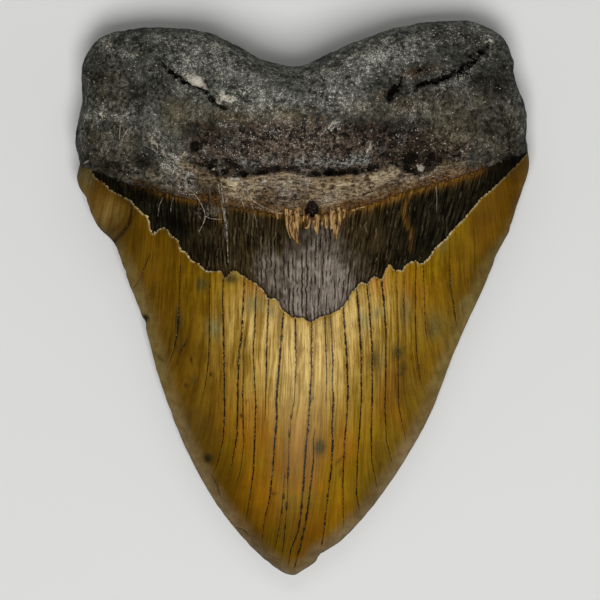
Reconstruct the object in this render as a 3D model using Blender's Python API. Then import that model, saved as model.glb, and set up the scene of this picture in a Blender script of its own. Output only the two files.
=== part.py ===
"""Fossil megalodon tooth, lying on its flatter lip-side face with its tongue-side face up.

The tooth grew as one piece, so it is one solid: a heavy two-lobed root, a dark chevron band
below it, and a triangular enamel crown with thin cutting edges. Sizes are in millimetres while
the form is worked out, and the finished mesh is in metres. X runs across the tooth, Y from the
tip towards the root, and Z up from the surface that the tooth lies on.

The form is worked out along rays from a point on the tooth's face to its rim. Each ray's length
comes from the outline, and two height functions, one for each face, give the rest.
"""

import math

import bmesh
import bpy
import numpy as np
from mathutils import Vector, noise

MM = 0.001

# Driving dimensions
TOOTH_HEIGHT = 145.0  # from the higher root lobe to the tip
TOOTH_WIDTH = 118.6
ROOT_THICKNESS = 29.0

# How finely the solid is worked out before it is thinned to flat facets
SHEET_CELLS = 150
RIM_STEPS = 16  # for each span of the outline
FACETS = 9600
TOUCHING = 0.05  # facets this near the surface below are laid flat on it

# The rim, seen from above, drawn from the tip up the right side and down the left one
OUTLINE = [
    (-2.9, -72.5), (0.3, -71.2), (3.4, -69.1), (5.0, -67.0), (11.2, -62.6), (20.1, -52.4),
    (28.0, -40.6), (34.2, -28.9), (40.2, -13.2), (47.3, 2.5), (51.7, 12.9), (54.3, 18.0),
    (55.9, 23.4), (58.5, 31.2), (59.3, 35.7), (58.5, 41.7), (58.3, 49.5), (55.4, 57.3),
    (54.9, 62.6), (52.3, 68.1), (47.0, 71.5), (40.0, 72.5), (28.2, 71.5), (16.5, 68.1),
    (6.0, 63.4), (-1.6, 60.5), (-10.5, 62.6), (-19.6, 67.3), (-26.6, 69.9), (-38.4, 70.7),
    (-48.9, 69.6), (-54.6, 66.2), (-57.5, 60.0), (-57.2, 52.1), (-59.3, 41.7), (-58.0, 36.4),
    (-58.8, 31.2), (-56.4, 25.5), (-53.6, 19.2), (-49.1, 14.5), (-46.2, 6.4), (-41.5, -5.9),
    (-37.4, -21.0), (-31.6, -36.7), (-23.3, -52.4), (-14.4, -63.9), (-7.6, -70.1),
]
RAY_CENTRE = (0.0, 14.0)
EDGE_WAVE = 12.0  # bumps of the rim shorter than this don't run on into the crown's faces
WAVY_SHARE = (0.6, 1.0)  # how far out across the tooth the rim's own bumps begin and rule
WAVY_TIP = (-60.0, -40.0)  # near the tip they rule all the way across

# The lines that cross the tongue-side face, as heights over the width
ROOT_LINE = [
    (-60, 35.6), (-44, 29.7), (-27, 25.5), (-15, 23.4), (0, 21.6), (13, 23.4), (25, 27.2),
    (39, 31.2), (52, 35.8), (60, 39.0),
]
LEDGE_LINE = [(-34, 37.5), (-20, 32.4), (0, 32.2), (13, 32.6), (23, 34.6), (39, 35.6), (44, 38.0)]
ENAMEL_LINE = [
    (-60, 38.0), (-54, 31.6), (-44.6, 25.8), (-39.6, 21.0), (-37, 18.2), (-32, 15.0),
    (-26, 8.8), (-19, 7.2), (-14, 5.7), (-9, 0.6), (-5, -2.6), (2, -5.7), (8, -3.4), (12, 1.0),
    (16, 4.2), (22, 8.6), (30, 9.6), (36, 14.8), (44, 23.5), (51, 30.0), (57, 36.6), (60, 40.0),
]
ENAMEL_STEP = 0.8  # how far the enamel stands over the dark band
STEP_WIDTH = 0.9

# Where the enamel ends on the lip-side face
LIP_LINE = [
    (-60, 38.5), (-46, 41.5), (-28, 39.5), (-10, 37.2), (4, 36.6), (20, 38.6), (34, 40.8),
    (48, 42.4), (60, 39.5),
]
LIP_STEP = 0.55

# Heights along the middle of the tooth, over the distance from the tip to the root
CROWN_RIDGE = [
    (-72.5, 2.8), (-68, 4.6), (-60, 7.6), (-45, 12.0), (-25, 16.4), (-6, 19.6), (12, 21.6),
    (40, 24.0),
]
RIM_HEIGHT = [
    (-72.5, 2.2), (-60, 3.4), (-30, 5.4), (0, 7.0), (30, 8.6), (42, 10.5), (60, 12.5), (73, 13.0),
]
LIP_FACE = [
    (-72.5, 1.6), (-67, 0.3), (-60, -0.2), (-52, -0.1), (-30, 0.8), (0, 1.4), (24, 1.2),
    (48, 0.9), (73, 0.9),
]
CROWN_BULGE = [(-72.5, 2.0), (-20, 2.05), (10, 2.35), (30, 3.0), (45, 3.4)]  # power of its arch
LIP_BULGE = 2.6
BEVEL_RISE = 0.8  # the crown rises this much at once behind its cutting edges
BEVEL_WIDTH = 1.6

# The root's swelling
ROOT_PEAK = 47.0
ROOT_HALF_WIDTH = 50.0
ROOT_FALL_SIDEWAYS = 8.6  # lost at the ends of the lobes
ROOT_FALL_CREST = 0.0105
ROOT_FALL_CROWN = 0.0095
ROOT_OVERHANG = (3.0, 5.5)  # the run that the root takes down to the crown, middle and ends
OVERHANG_FROM = (20.0, 50.0)  # where between the middle and the ends it changes
OVERHANG_SHIFT = 0.3
ROLL_RADIUS = 9.5  # of the root's rounded rim
ROLL_FROM = (31.0, 41.0)  # the cutting edge turns into the rounded rim between these heights
ROOT_LUMP = 0.55
LIP_LUMP = 0.33
LUMP_SIZE = 15.0
LIP_LUMP_AT = 50.0  # another part of the same noise
LOBE_PADS = [(-37.0, 53.0), (38.0, 54.0)]  # where the lip side of the lobes touches down
PAD_RADIUS = 13.0
PAD_DEPTH = 1.5

# Worn places of the root
TROUGH_TOP = [(-36, 41.0), (-25, 44.5), (0, 46.4), (25, 45.6), (42, 42.0)]
TROUGH_ENDS = (-33.0, 41.0)
TROUGH_RAMP = 9.0
TROUGH_DEPTH = 3.4
TROUGH_POWER = 1.4  # it deepens towards the ledge
LEDGE_ENDS = (-36.0, 46.0)
LEDGE_RAMP = 8.0
LEDGE_STEP = 0.9
LEDGE_EDGE = 1.4
FISSURES = [  # points along each, its width and its depth
    ([(-37, 62), (-34, 59), (-30, 56.5), (-25, 53.8), (-22, 50.6), (-18, 48.6)], 1.1, 2.6),
    ([(47, 63.6), (43.5, 61), (40.5, 59.4), (36.8, 57.4), (33, 56.2), (29.5, 54)], 1.5, 3.4),
    ([(35.5, 58.8), (28.5, 58), (25.2, 55), (23, 51)], 1.4, 3.0),
]
FORAMEN = (2.9, 22.9)
FORAMEN_RADII = (1.5, 2.4)
FORAMEN_DEPTH = 2.4

# The swollen fold at the left shoulder of the crown
FOLD_CENTRE = (-51.5, 22.5)
FOLD_RADIUS = 8.0
FOLD_RISE = 2.0
FOLD_GROOVE = [(-43.8, 24.5), (-44.8, 20.6), (-46.6, 18.2), (-49.4, 15.2)]
FOLD_GROOVE_WIDTH = 1.2
FOLD_GROOVE_DEPTH = 1.1

ROOT_GREY = (0.030, 0.032, 0.030)
BAND_BROWN = (0.045, 0.035, 0.028)
ENAMEL_OCHRE = (0.36, 0.21, 0.055)


def step(low, high, value):
    """0 below low, 1 above high, and a smooth rise between."""
    share = np.clip((value - low) / (high - low), 0, 1)
    return share * share * (3 - 2 * share)


def through(points, at):
    """A smooth curve through (place, value) points, read at each place of an array."""
    places, values = np.array(points, float).T
    slopes = np.gradient(values, places)
    i = np.clip(np.searchsorted(places, at) - 1, 0, len(places) - 2)
    gap = places[i + 1] - places[i]
    t = np.clip((at - places[i]) / gap, 0, 1)
    rise = (1 + 2 * t) * (1 - t) ** 2 * values[i] + t * t * (3 - 2 * t) * values[i + 1]
    return rise + gap * t * (1 - t) * ((1 - t) * slopes[i] - t * slopes[i + 1])


def between(ends, ramp, x):
    """1 between two ends, falling to 0 over a ramp inside each of them."""
    return step(ends[0], ends[0] + ramp, x) * step(-ends[1], ramp - ends[1], -x)


def distance_to(path, x, y):
    """Distance from each point to a line of straight runs."""
    nearest = np.full(x.shape, np.inf)
    for (ax, ay), (bx, by) in zip(path, path[1:]):
        along = ((x - ax) * (bx - ax) + (y - ay) * (by - ay)) / ((bx - ax) ** 2 + (by - ay) ** 2)
        along = np.clip(along, 0, 1)
        nearest = np.minimum(nearest, np.hypot(x - ax - along * (bx - ax), y - ay - along * (by - ay)))
    return nearest


def smooth_rim():
    """The outline as a closed smooth line, fitted to the tooth's width and height."""
    corners = np.array(OUTLINE)
    before, after, beyond = (np.roll(corners, n, axis=0) for n in (1, -1, -2))
    t = np.linspace(0, 1, RIM_STEPS, endpoint=False)[:, None, None]
    rim = 0.5 * (
        2 * corners
        + (after - before) * t
        + (2 * before - 5 * corners + 4 * after - beyond) * t**2
        + (3 * corners - before - 3 * after + beyond) * t**3
    )
    rim = rim.transpose(1, 0, 2).reshape(-1, 2)
    low, high = rim.min(axis=0), rim.max(axis=0)
    return (rim - (low + high) / 2) * np.array((TOOTH_WIDTH, TOOTH_HEIGHT)) / (high - low)


RIM = smooth_rim()


def rim_sides():
    """Heights from tip to root, and the left and right rim at each, as drawn and evened out."""
    gap = 0.25
    heights = np.arange(-TOOTH_HEIGHT / 2, TOOTH_HEIGHT / 2 + gap, gap)
    around = np.roll(RIM, -int(np.argmin(RIM[:, 1])), axis=0)
    right = around[: int(np.argmax(around[:, 1]))]
    left = around[len(right):][::-1]
    left = left[: int(np.argmax(left[:, 1]))]
    drawn = [np.interp(heights, np.maximum.accumulate(s[:, 1]), s[:, 0]) for s in (left, right)]
    window = np.hanning(int(2 * EDGE_WAVE / gap) | 1)
    margin = len(window) // 2
    even = [np.convolve(np.pad(s, margin, "edge"), window / window.sum(), "valid") for s in drawn]
    return heights, drawn, even


HEIGHTS, DRAWN_SIDES, EVEN_SIDES = rim_sides()


def ray_length(angle):
    """Distance from the ray centre to the rim in each direction."""
    dx, dy = (RIM - np.array(RAY_CENTRE)).T
    turns = np.arctan2(dy, dx)
    order = np.argsort(turns)
    return np.interp(angle, turns[order], np.hypot(dx, dy)[order], period=2 * math.pi)


def middle_and_half(sides, y):
    left, right = (np.interp(y, HEIGHTS, side) for side in sides)
    return (left + right) / 2, np.maximum((right - left) / 2, 0.05)


def share_across(x, y):
    """Place across the tooth at its height: -1 on the left rim and 1 on the right one."""
    middle, half = middle_and_half(DRAWN_SIDES, y)
    drawn = np.clip((x - middle) / half, -1, 1)
    middle, half = middle_and_half(EVEN_SIDES, y)
    even = np.clip((x - middle) / half, -1, 1)
    wavy = np.maximum(step(*WAVY_SHARE, np.abs(drawn)), 1 - step(*WAVY_TIP, y))
    return even + (drawn - even) * wavy


def lumps(x, y, z, size):
    """Soft irregular swellings, between about -1 and 1."""
    return np.array([noise.noise(Vector(p) / size) for p in zip(x, y, z)])


def rolled(angle, share):
    """Distance from the ray centre, and how much of the face's height is left, where the root's
    rim is rounded over and the crown's runs out to an edge."""
    length = ray_length(angle)
    rim_y = RAY_CENTRE[1] + length * np.sin(angle)
    roll = ROLL_RADIUS * step(*ROLL_FROM, rim_y) + 1e-6
    flat = length - roll
    along = share * (flat + roll * math.pi / 2)
    turn = np.clip((along - flat) / roll, 0, math.pi / 2)
    return np.minimum(along, flat) + roll * np.sin(turn), np.cos(turn)


def crown_height(x, y):
    """The crown's tongue side: an arched cross-section between two bevelled edges."""
    rim = through(RIM_HEIGHT, y)
    share = np.abs(share_across(x, y))
    arch = 1 - share ** through(CROWN_BULGE, y)
    from_edge = middle_and_half(DRAWN_SIDES, y)[1] * (1 - share)
    bevel = BEVEL_RISE * (1 - np.exp(-from_edge / BEVEL_WIDTH))
    return rim + (through(CROWN_RIDGE, y) - rim) * arch + bevel


def root_height(x, y):
    """The root's tongue side before its rim is rounded: highest in the middle."""
    above = y - ROOT_PEAK
    fall = np.where(above > 0, ROOT_FALL_CREST, ROOT_FALL_CROWN) * above**2
    return ROOT_THICKNESS - ROOT_FALL_SIDEWAYS * (x / ROOT_HALF_WIDTH) ** 2 - fall


def worn_places(x, y):
    """What the trough, ledge, fissures and foramen take from the root's height or add to it."""
    ledge, top, root = (through(line, x) for line in (LEDGE_LINE, TROUGH_TOP, ROOT_LINE))
    down = np.clip((top - y) / (top - ledge), 0, 1.2) ** TROUGH_POWER
    trough = between(TROUGH_ENDS, TROUGH_RAMP, x) * down * step(-0.2, STEP_WIDTH, y - ledge)
    strip = step(0.0, STEP_WIDTH, y - root) * step(-LEDGE_EDGE, 0.0, ledge - y + 0.6)
    change = LEDGE_STEP * strip * between(LEDGE_ENDS, LEDGE_RAMP, x) - TROUGH_DEPTH * trough
    for path, width, depth in FISSURES:
        change -= depth * (1 - step(0.15, 1.0, distance_to(path, x, y) / width))
    hole = np.hypot((x - FORAMEN[0]) / FORAMEN_RADII[0], (y - FORAMEN[1]) / FORAMEN_RADII[1])
    return change - FORAMEN_DEPTH * (1 - step(0.5, 1.0, hole))


def shoulder_fold(x, y):
    """The swollen fold on the left shoulder, and the groove that closes it off."""
    away = np.hypot(x - FOLD_CENTRE[0], y - FOLD_CENTRE[1]) / FOLD_RADIUS
    groove = distance_to(FOLD_GROOVE, x, y) / FOLD_GROOVE_WIDTH
    rise = FOLD_RISE * (1 - step(0.0, 1.0, away)) - FOLD_GROOVE_DEPTH * (1 - step(0.1, 1.0, groove))
    return rise * (1 - share_across(x, y) ** 8)


def tongue_side(x, y, left):
    """Height of the upper face. left is how much of it the rounded rim leaves."""
    rim = through(RIM_HEIGHT, y)
    run = ROOT_OVERHANG[0] + (ROOT_OVERHANG[1] - ROOT_OVERHANG[0]) * step(*OVERHANG_FROM, np.abs(x))
    root_share = step(-1.0, 1.0, (y - through(ROOT_LINE, x)) / run + OVERHANG_SHIFT)
    crown = crown_height(x, y) + shoulder_fold(x, y)
    enamel = step(0.0, STEP_WIDTH, through(ENAMEL_LINE, x) - y)
    crown += ENAMEL_STEP * enamel * (1 - share_across(x, y) ** 6)
    root = root_height(x, y) + ROOT_LUMP * lumps(x, y, 0 * x, LUMP_SIZE)
    body = crown + (root - crown) * root_share + worn_places(x, y)
    return rim + (body - rim) * left


def lip_side(x, y, left):
    """Height of the lower face, which rests on the root's two lobes and behind the tip."""
    rim = through(RIM_HEIGHT, y)
    middle = through(LIP_FACE, y)
    crown = middle + (rim - middle) * np.abs(share_across(x, y)) ** LIP_BULGE
    root = middle + LIP_LUMP * lumps(x, y, 0 * x + LIP_LUMP_AT, LUMP_SIZE)
    for px, py in LOBE_PADS:
        root -= PAD_DEPTH * (1 - step(0.0, 1.0, np.hypot(x - px, y - py) / PAD_RADIUS))
    body = crown + (root - crown) * step(*ROLL_FROM, y)
    bare = step(0.0, STEP_WIDTH, y - through(LIP_LINE, x))
    body += LIP_STEP * bare
    return np.maximum(rim - (rim - body) * left, 0)


def add_sheet(bm, face_height):
    """A square grid drawn out to the rim, with one face's height."""
    made = bmesh.ops.create_grid(bm, x_segments=SHEET_CELLS, y_segments=SHEET_CELLS, size=1.0)
    verts = made["verts"]
    a, b = (np.array([v.co[i] for v in verts], float) for i in (0, 1))
    disc_x, disc_y = a * np.sqrt(1 - b * b / 2), b * np.sqrt(1 - a * a / 2)
    angle, share = np.arctan2(disc_y, disc_x), np.minimum(np.hypot(disc_x, disc_y), 1)
    reach, left = rolled(angle, share)
    x = RAY_CENTRE[0] + reach * np.cos(angle)
    y = RAY_CENTRE[1] + reach * np.sin(angle)
    on_rim = share > 1 - 1e-6
    z = np.where(on_rim, through(RIM_HEIGHT, y), face_height(x, y, left))
    for v, co in zip(verts, np.stack((x, y, z), axis=1) * MM):
        v.co = co
    return verts


def material(name, colour, roughness):
    made = bpy.data.materials.new(name)
    made.use_nodes = True
    shader = made.node_tree.nodes["Principled BSDF"]
    shader.inputs["Base Color"].default_value = (*colour, 1)
    shader.inputs["Roughness"].default_value = roughness
    made.diffuse_color = (*colour, 1)
    return made


def paint(mesh):
    """Root, dark band and enamel, by where each facet lies."""
    x, y, z = np.array([f.center for f in mesh.polygons]).T / MM
    upward = np.array([f.normal.z > 0 for f in mesh.polygons])
    tongue = np.where(y > through(ROOT_LINE, x), 0, np.where(y > through(ENAMEL_LINE, x), 1, 2))
    lip = np.where(y > through(LIP_LINE, x), 0, 2)
    zones = np.where(upward, tongue, lip)
    mesh.polygons.foreach_set("material_index", zones.astype(np.int32))


def thin_out(tooth):
    """Fewer, larger facets where the form is plain, and flat ones where the tooth touches down."""
    thin = tooth.modifiers.new("flat_facets", "DECIMATE")
    thin.ratio = FACETS / len(tooth.data.polygons)
    depsgraph = bpy.context.evaluated_depsgraph_get()
    thinned = bpy.data.meshes.new_from_object(tooth.evaluated_get(depsgraph))
    tooth.modifiers.clear()
    tooth.data = thinned
    for v in thinned.vertices:
        if v.co.z < TOUCHING * MM:
            v.co.z = 0.0


def make_tooth():
    bm = bmesh.new()
    add_sheet(bm, tongue_side)
    lower = set(add_sheet(bm, lip_side))
    bmesh.ops.reverse_faces(bm, faces=[f for f in bm.faces if f.verts[0] in lower])
    bmesh.ops.remove_doubles(bm, verts=bm.verts, dist=1e-7)
    bmesh.ops.triangulate(bm, faces=bm.faces)
    mesh = bpy.data.meshes.new("tooth")
    bm.to_mesh(mesh)
    bm.free()
    for made in (
        material("root", ROOT_GREY, 0.75),
        material("dark_band", BAND_BROWN, 0.55),
        material("enamel", ENAMEL_OCHRE, 0.30),
    ):
        mesh.materials.append(made)
    tooth = bpy.data.objects.new("tooth", mesh)
    bpy.context.scene.collection.objects.link(tooth)
    thin_out(tooth)
    paint(tooth.data)
    tooth.data.shade_smooth()
    return tooth


for old in list(bpy.data.objects):
    bpy.data.objects.remove(old)
make_tooth()
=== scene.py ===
"""The looks of a fossil megalodon tooth that lies on its lip-side face.

The file is laid out as an add-on and is run as a script. Sizes are in millimetres while a shape
is worked out, and every mesh is in metres. X runs across the tooth, Y from the tip towards the
root, and Z up. The tooth is one grown piece, made of two faces that meet at its rim. Mineral
grains, brown splinters and dried threads lie on it.
"""

import math
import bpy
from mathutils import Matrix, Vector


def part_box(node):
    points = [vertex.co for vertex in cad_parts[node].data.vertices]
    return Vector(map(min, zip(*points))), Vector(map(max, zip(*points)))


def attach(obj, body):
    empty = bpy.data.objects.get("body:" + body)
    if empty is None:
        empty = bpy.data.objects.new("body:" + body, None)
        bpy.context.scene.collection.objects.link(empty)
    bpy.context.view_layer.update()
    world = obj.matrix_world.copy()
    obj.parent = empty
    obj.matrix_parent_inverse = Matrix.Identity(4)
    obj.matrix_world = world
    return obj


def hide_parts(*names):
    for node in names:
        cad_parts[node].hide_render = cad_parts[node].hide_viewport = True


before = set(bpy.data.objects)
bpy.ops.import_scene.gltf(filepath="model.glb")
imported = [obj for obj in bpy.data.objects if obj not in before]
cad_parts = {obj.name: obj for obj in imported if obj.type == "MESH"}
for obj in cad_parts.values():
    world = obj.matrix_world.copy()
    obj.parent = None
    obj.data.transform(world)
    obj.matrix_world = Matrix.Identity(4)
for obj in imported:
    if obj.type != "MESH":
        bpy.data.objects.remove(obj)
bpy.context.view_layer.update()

from types import SimpleNamespace

import bpy
import numpy as np
from mathutils import Vector, noise
from mathutils.bvhtree import BVHTree

bl_info = {
    "name": "Fossil Tooth",
    "version": (1, 0, 0),
    "blender": (4, 5, 0),
    "location": "View3D > Sidebar > Tooth",
    "description": "Makes a large fossil tooth with its root, dark band and enamel crown",
    "category": "Add Mesh",
}

MM = 0.001
TOOTH_LOW, TOOTH_HIGH = (np.array(corner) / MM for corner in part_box("tooth"))
TOOTH_WIDTH, TOOTH_HEIGHT, ROOT_THICKNESS = TOOTH_HIGH - TOOTH_LOW

# How finely each face is worked out. The tongue side has twice as many cells along the rim
TONGUE_CELLS = 272
LIP_CELLS = 136
RIM_STEPS = 16

# The rim, seen from above, drawn from the tip up the right side and down the left one
OUTLINE = [
    (-2.9, -72.5), (0.3, -71.2), (3.4, -69.1), (5.0, -67.0), (11.2, -62.6), (20.1, -52.4),
    (28.0, -40.6), (34.2, -28.9), (40.2, -13.2), (47.3, 2.5), (51.7, 12.9), (54.3, 18.0),
    (55.9, 23.4), (58.5, 31.2), (59.3, 35.7), (58.5, 41.7), (58.3, 49.5), (55.4, 57.3),
    (54.9, 62.6), (52.3, 68.1), (47.0, 71.5), (40.0, 72.5), (28.2, 71.5), (16.5, 68.1),
    (6.0, 63.4), (-1.6, 60.5), (-10.5, 62.6), (-19.6, 67.3), (-26.6, 69.9), (-38.4, 70.7),
    (-48.9, 69.6), (-54.6, 66.2), (-57.5, 60.0), (-57.2, 52.1), (-59.3, 41.7), (-58.0, 36.4),
    (-58.8, 31.2), (-56.4, 25.5), (-53.6, 19.2), (-49.1, 14.5), (-46.2, 6.4), (-41.5, -5.9),
    (-37.4, -21.0), (-31.6, -36.7), (-23.3, -52.4), (-14.4, -63.9), (-7.6, -70.1),
]
RAY_CENTRE = (0.0, 14.0)
EDGE_WAVE = 12.0
WAVY_SHARE = (0.6, 1.0)
WAVY_TIP = (-60.0, -40.0)
BITES = [  # small chips of the rim: place, half width and depth
    (-56.6, 27.0, 1.3, 0.5), (-40.6, -6.0, 1.0, 1.1), (43.6, -3.4, 0.7, 0.4), (50.6, 11.6, 1.6, 0.3),
    (54.2, 19.4, 0.9, 0.3), (-34.4, -29.5, 0.8, 0.25), (-46.6, 7.4, 0.8, 0.3), (4.8, -67.2, 0.9, 0.3),
]
EDGE_WEAR = 0.13  # how unevenly the cutting edges are worn
EDGE_WEAR_SIZE = 2.2
EDGE_WEAR_ENDS = (28.0, 34.0)  # heights over which that wear stops

# The lines that cross the tongue-side face, as heights over the width
ROOT_LINE = [
    (-60, 35.6), (-44, 29.7), (-27, 25.5), (-15, 23.4), (0, 21.6), (13, 23.4), (25, 27.2),
    (39, 31.2), (52, 35.8), (60, 39.0),
]
LEDGE_LINE = [
    (-34, 37.5), (-26, 34.0), (-20, 31.8), (-14.9, 31.7), (-9.7, 32.5), (-2.4, 33.2), (0.3, 32.3),
    (3.7, 31.7), (10.2, 32.0), (17.8, 32.8), (22.7, 34.4), (26.6, 33.2), (30.3, 32.0),
    (33.4, 33.4), (36.1, 35.6), (40.0, 36.4), (44, 38.0),
]
ENAMEL_TRACE = [  # the jagged upper edge of the enamel, from the left rim to the right one
    (-60.0, 38.4), (-58.5, 37.0), (-56.7, 35.7), (-54.6, 33.3), (-53.6, 31.5), (-51.2, 30.2),
    (-49.9, 28.6), (-47.5, 27.3), (-45.5, 26.3), (-44.2, 25.7), (-43.4, 24.4), (-42.3, 23.4),
    (-41.0, 22.1), (-40.0, 21.6), (-39.5, 20.0), (-39.2, 18.2), (-38.7, 17.1), (-37.9, 17.6),
    (-37.1, 18.4), (-35.8, 18.7), (-34.7, 18.2), (-34.0, 16.6), (-32.9, 16.1), (-31.9, 15.0),
    (-31.4, 12.9), (-29.8, 12.1), (-29.3, 11.1), (-28.5, 10.1), (-26.6, 9.3), (-25.1, 7.4),
    (-22.7, 7.4), (-21.4, 7.4), (-20.6, 6.7), (-20.1, 5.6), (-19.3, 5.9), (-18.3, 7.4),
    (-17.0, 7.4), (-16.2, 6.7), (-15.2, 6.1), (-13.1, 4.8), (-11.8, 4.0), (-10.5, 3.0),
    (-9.7, 2.0), (-9.1, 0.4), (-6.8, 0.1), (-6.0, -0.7), (-5.5, -2.0), (-4.7, -3.0),
    (-3.7, -3.8), (-2.6, -4.6), (0.3, -4.8), (1.3, -5.6), (2.1, -5.9), (2.9, -5.6), (3.9, -4.8),
    (5.5, -4.3), (7.3, -3.8), (8.9, -3.0), (10.2, -2.2), (11.0, -1.2), (12.0, 0.1), (12.8, 2.0),
    (13.6, 2.7), (14.6, 3.8), (15.4, 4.6), (16.5, 4.0), (17.2, 4.3), (18.0, 5.6), (18.8, 6.1),
    (19.9, 5.6), (20.6, 5.1), (21.4, 7.2), (22.2, 8.5), (22.7, 9.3), (23.5, 8.2), (24.0, 7.4),
    (25.1, 7.7), (25.9, 7.4), (26.4, 8.5), (27.4, 9.3), (28.5, 9.8), (29.5, 10.1), (30.3, 9.3),
    (31.4, 9.5), (32.4, 10.3), (33.2, 11.4), (34.0, 12.7), (35.0, 13.7), (36.1, 14.8),
    (37.4, 15.8), (38.7, 17.6), (40.5, 19.5), (42.1, 21.0), (43.6, 22.9), (44.9, 24.4),
    (46.5, 26.3), (48.3, 27.8), (50.7, 29.9), (52.5, 31.7), (54.6, 33.8), (57.2, 36.4),
    (60.0, 39.6),
]
ENAMEL_STEP = 0.6
STEP_WIDTH = 0.3
LIP_LINE = [
    (-60, 38.5), (-46, 41.5), (-28, 39.5), (-10, 37.2), (4, 36.6), (20, 38.6), (34, 40.8),
    (48, 42.4), (60, 39.5),
]
LIP_STEP = 0.55

# Heights along the middle of the tooth, over the distance from the tip to the root
CROWN_RIDGE = [
    (-72.5, 2.8), (-68, 4.6), (-60, 7.6), (-45, 12.0), (-25, 16.4), (-6, 19.6), (12, 21.6),
    (40, 24.0),
]
RIM_HEIGHT = [
    (-72.5, 2.2), (-60, 3.4), (-30, 5.4), (0, 7.0), (30, 8.6), (42, 10.5), (60, 12.5), (73, 13.0),
]
LIP_FACE = [
    (-72.5, 1.6), (-67, 0.3), (-60, -0.2), (-52, -0.1), (-30, 0.8), (0, 1.4), (24, 1.2),
    (48, 0.9), (73, 0.9),
]
CROWN_BULGE = [(-72.5, 2.0), (-20, 2.05), (10, 2.35), (30, 3.0), (45, 3.4)]
LIP_BULGE = 2.6
BEVEL_RISE = 0.8
BEVEL_WIDTH = 1.6

# The root's swelling
ROOT_PEAK = 47.0
ROOT_HALF_WIDTH = 50.0
ROOT_FALL_SIDEWAYS = 8.6
ROOT_FALL_CREST = 0.0105
ROOT_FALL_CROWN = 0.0095
ROOT_OVERHANG = (3.0, 5.5)
OVERHANG_FROM = (20.0, 50.0)
OVERHANG_SHIFT = 0.3
ROLL_RADIUS = 9.5
ROLL_FROM = (31.0, 41.0)
ROOT_LUMP = 0.55
LIP_LUMP = 0.33
LUMP_SIZE = 15.0
LIP_LUMP_AT = 50.0
LOBE_PADS = [(-37.0, 53.0), (38.0, 54.0)]
PAD_RADIUS = 13.0
PAD_DEPTH = 1.5

# Worn places of the root
TROUGH_TOP = [(-36, 41.0), (-25, 44.5), (0, 46.4), (25, 45.6), (42, 42.0)]
TROUGH_ENDS = (-33.0, 41.0)
TROUGH_RAMP = 9.0
TROUGH_DEPTH = 3.4
TROUGH_POWER = 1.4
TROUGH_STAIN_ENDS = (-34.0, 48.0)
TROUGH_STAIN_RAMP = 9.0
LEDGE_ENDS = (-36.0, 46.0)
LEDGE_RAMP = 8.0
LEDGE_STEP = 0.9
LEDGE_RAGGED = 0.45
LEDGE_RAGGED_SIZE = 1.6
LEDGE_EDGE = 1.4
LEDGE_GAP_ENDS = (-24.0, 40.0)
LEDGE_GAP_WIDTH = 0.9
LEDGE_GAP_DEPTH = 0.6
FISSURES = [  # the points along each, its half width and its depth
    ([(-37.6, 63.4), (-36.1, 61.3), (-34.5, 59.7), (-32.9, 58.1), (-31.6, 57.3), (-30.0, 56.3),
      (-28.0, 55.3), (-25.3, 54.2), (-24.0, 52.6), (-23.0, 51.1), (-20.9, 49.5), (-18.0, 48.5)],
     0.66, 2.4),
    ([(-17.4, 52.3), (-16.2, 51.9), (-14.1, 51.1), (-12.0, 49.5)], 0.40, 0.9),
    ([(48.9, 66.8), (47.3, 64.4), (46.0, 63.6), (43.9, 61.8), (42.1, 60.5), (40.0, 59.2),
      (38.1, 57.9), (36.1, 57.3), (33.4, 56.3), (30.8, 55.3), (28.7, 54.0)], 1.30, 3.4),
    ([(33.4, 59.7), (30.8, 59.2), (28.2, 58.1), (26.1, 56.8)], 0.45, 1.0),
    ([(28.2, 58.1), (26.1, 56.8), (24.6, 55.5), (23.3, 53.7), (22.5, 51.3)], 0.95, 2.4),
    ([(-8.4, 59.4), (-7.1, 57.6), (-5.5, 56.3), (-4.7, 54.7)], 0.35, 0.7),
    ([(50.9, 50.3), (53.0, 51.1), (55.1, 51.1)], 0.35, 0.6),
]
PITS = [  # small holes of the root: place, radius and depth
    (-37.9, 56.0, 0.8, 0.9), (-27.7, 39.3, 1.3, 1.6), (-20.0, 33.2, 1.2, 1.2), (49.0, 49.6, 0.8, 0.8),
    (17.5, 34.2, 1.4, 0.9), (27.6, 36.2, 1.9, 1.7), (33.6, 37.0, 1.5, 1.4), (47.6, 45.6, 1.1, 0.7),
    (8.1, 46.0, 0.8, 0.7), (12.5, 45.2, 0.8, 0.6), (-5.2, 51.3, 0.7, 0.6),
]
RAGGED_SIDES = [(0.6, 1.5, 20), (0.7, 0.7, 30)]  # of the fissures: strength, size and seed
CROOKED = 0.9  # how far fissures wander sideways
CROOKED_SIZE = 2.1
CROOKED_SEEDS = (40, 50)
SWELL = (0.95, 0.9)  # mean of a fissure's width and how far it changes along it
SWELL_SIZE = 3.2
SWELL_SEED = 60
TAPER = (0.2, 4.0)  # share of the depth that is left at a fissure's ends, and the length of each end
PIT_SQUASH = 1.2
FORAMEN = (2.5, 22.9)
FORAMEN_RADII = (1.35, 1.9)
FORAMEN_DEPTH = 2.4

# The swollen fold at the left shoulder of the crown
FOLD_CENTRE = (-51.5, 22.5)
FOLD_RADIUS = 8.0
FOLD_RISE = 2.0
FOLD_GROOVE = [(-43.6, 23.6), (-43.9, 22.1), (-44.9, 20.2), (-45.7, 18.9), (-47.0, 17.4), (-48.6, 15.4)]
FOLD_GROOVE_WIDTH = 0.9
FOLD_GROOVE_DEPTH = 1.1

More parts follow.
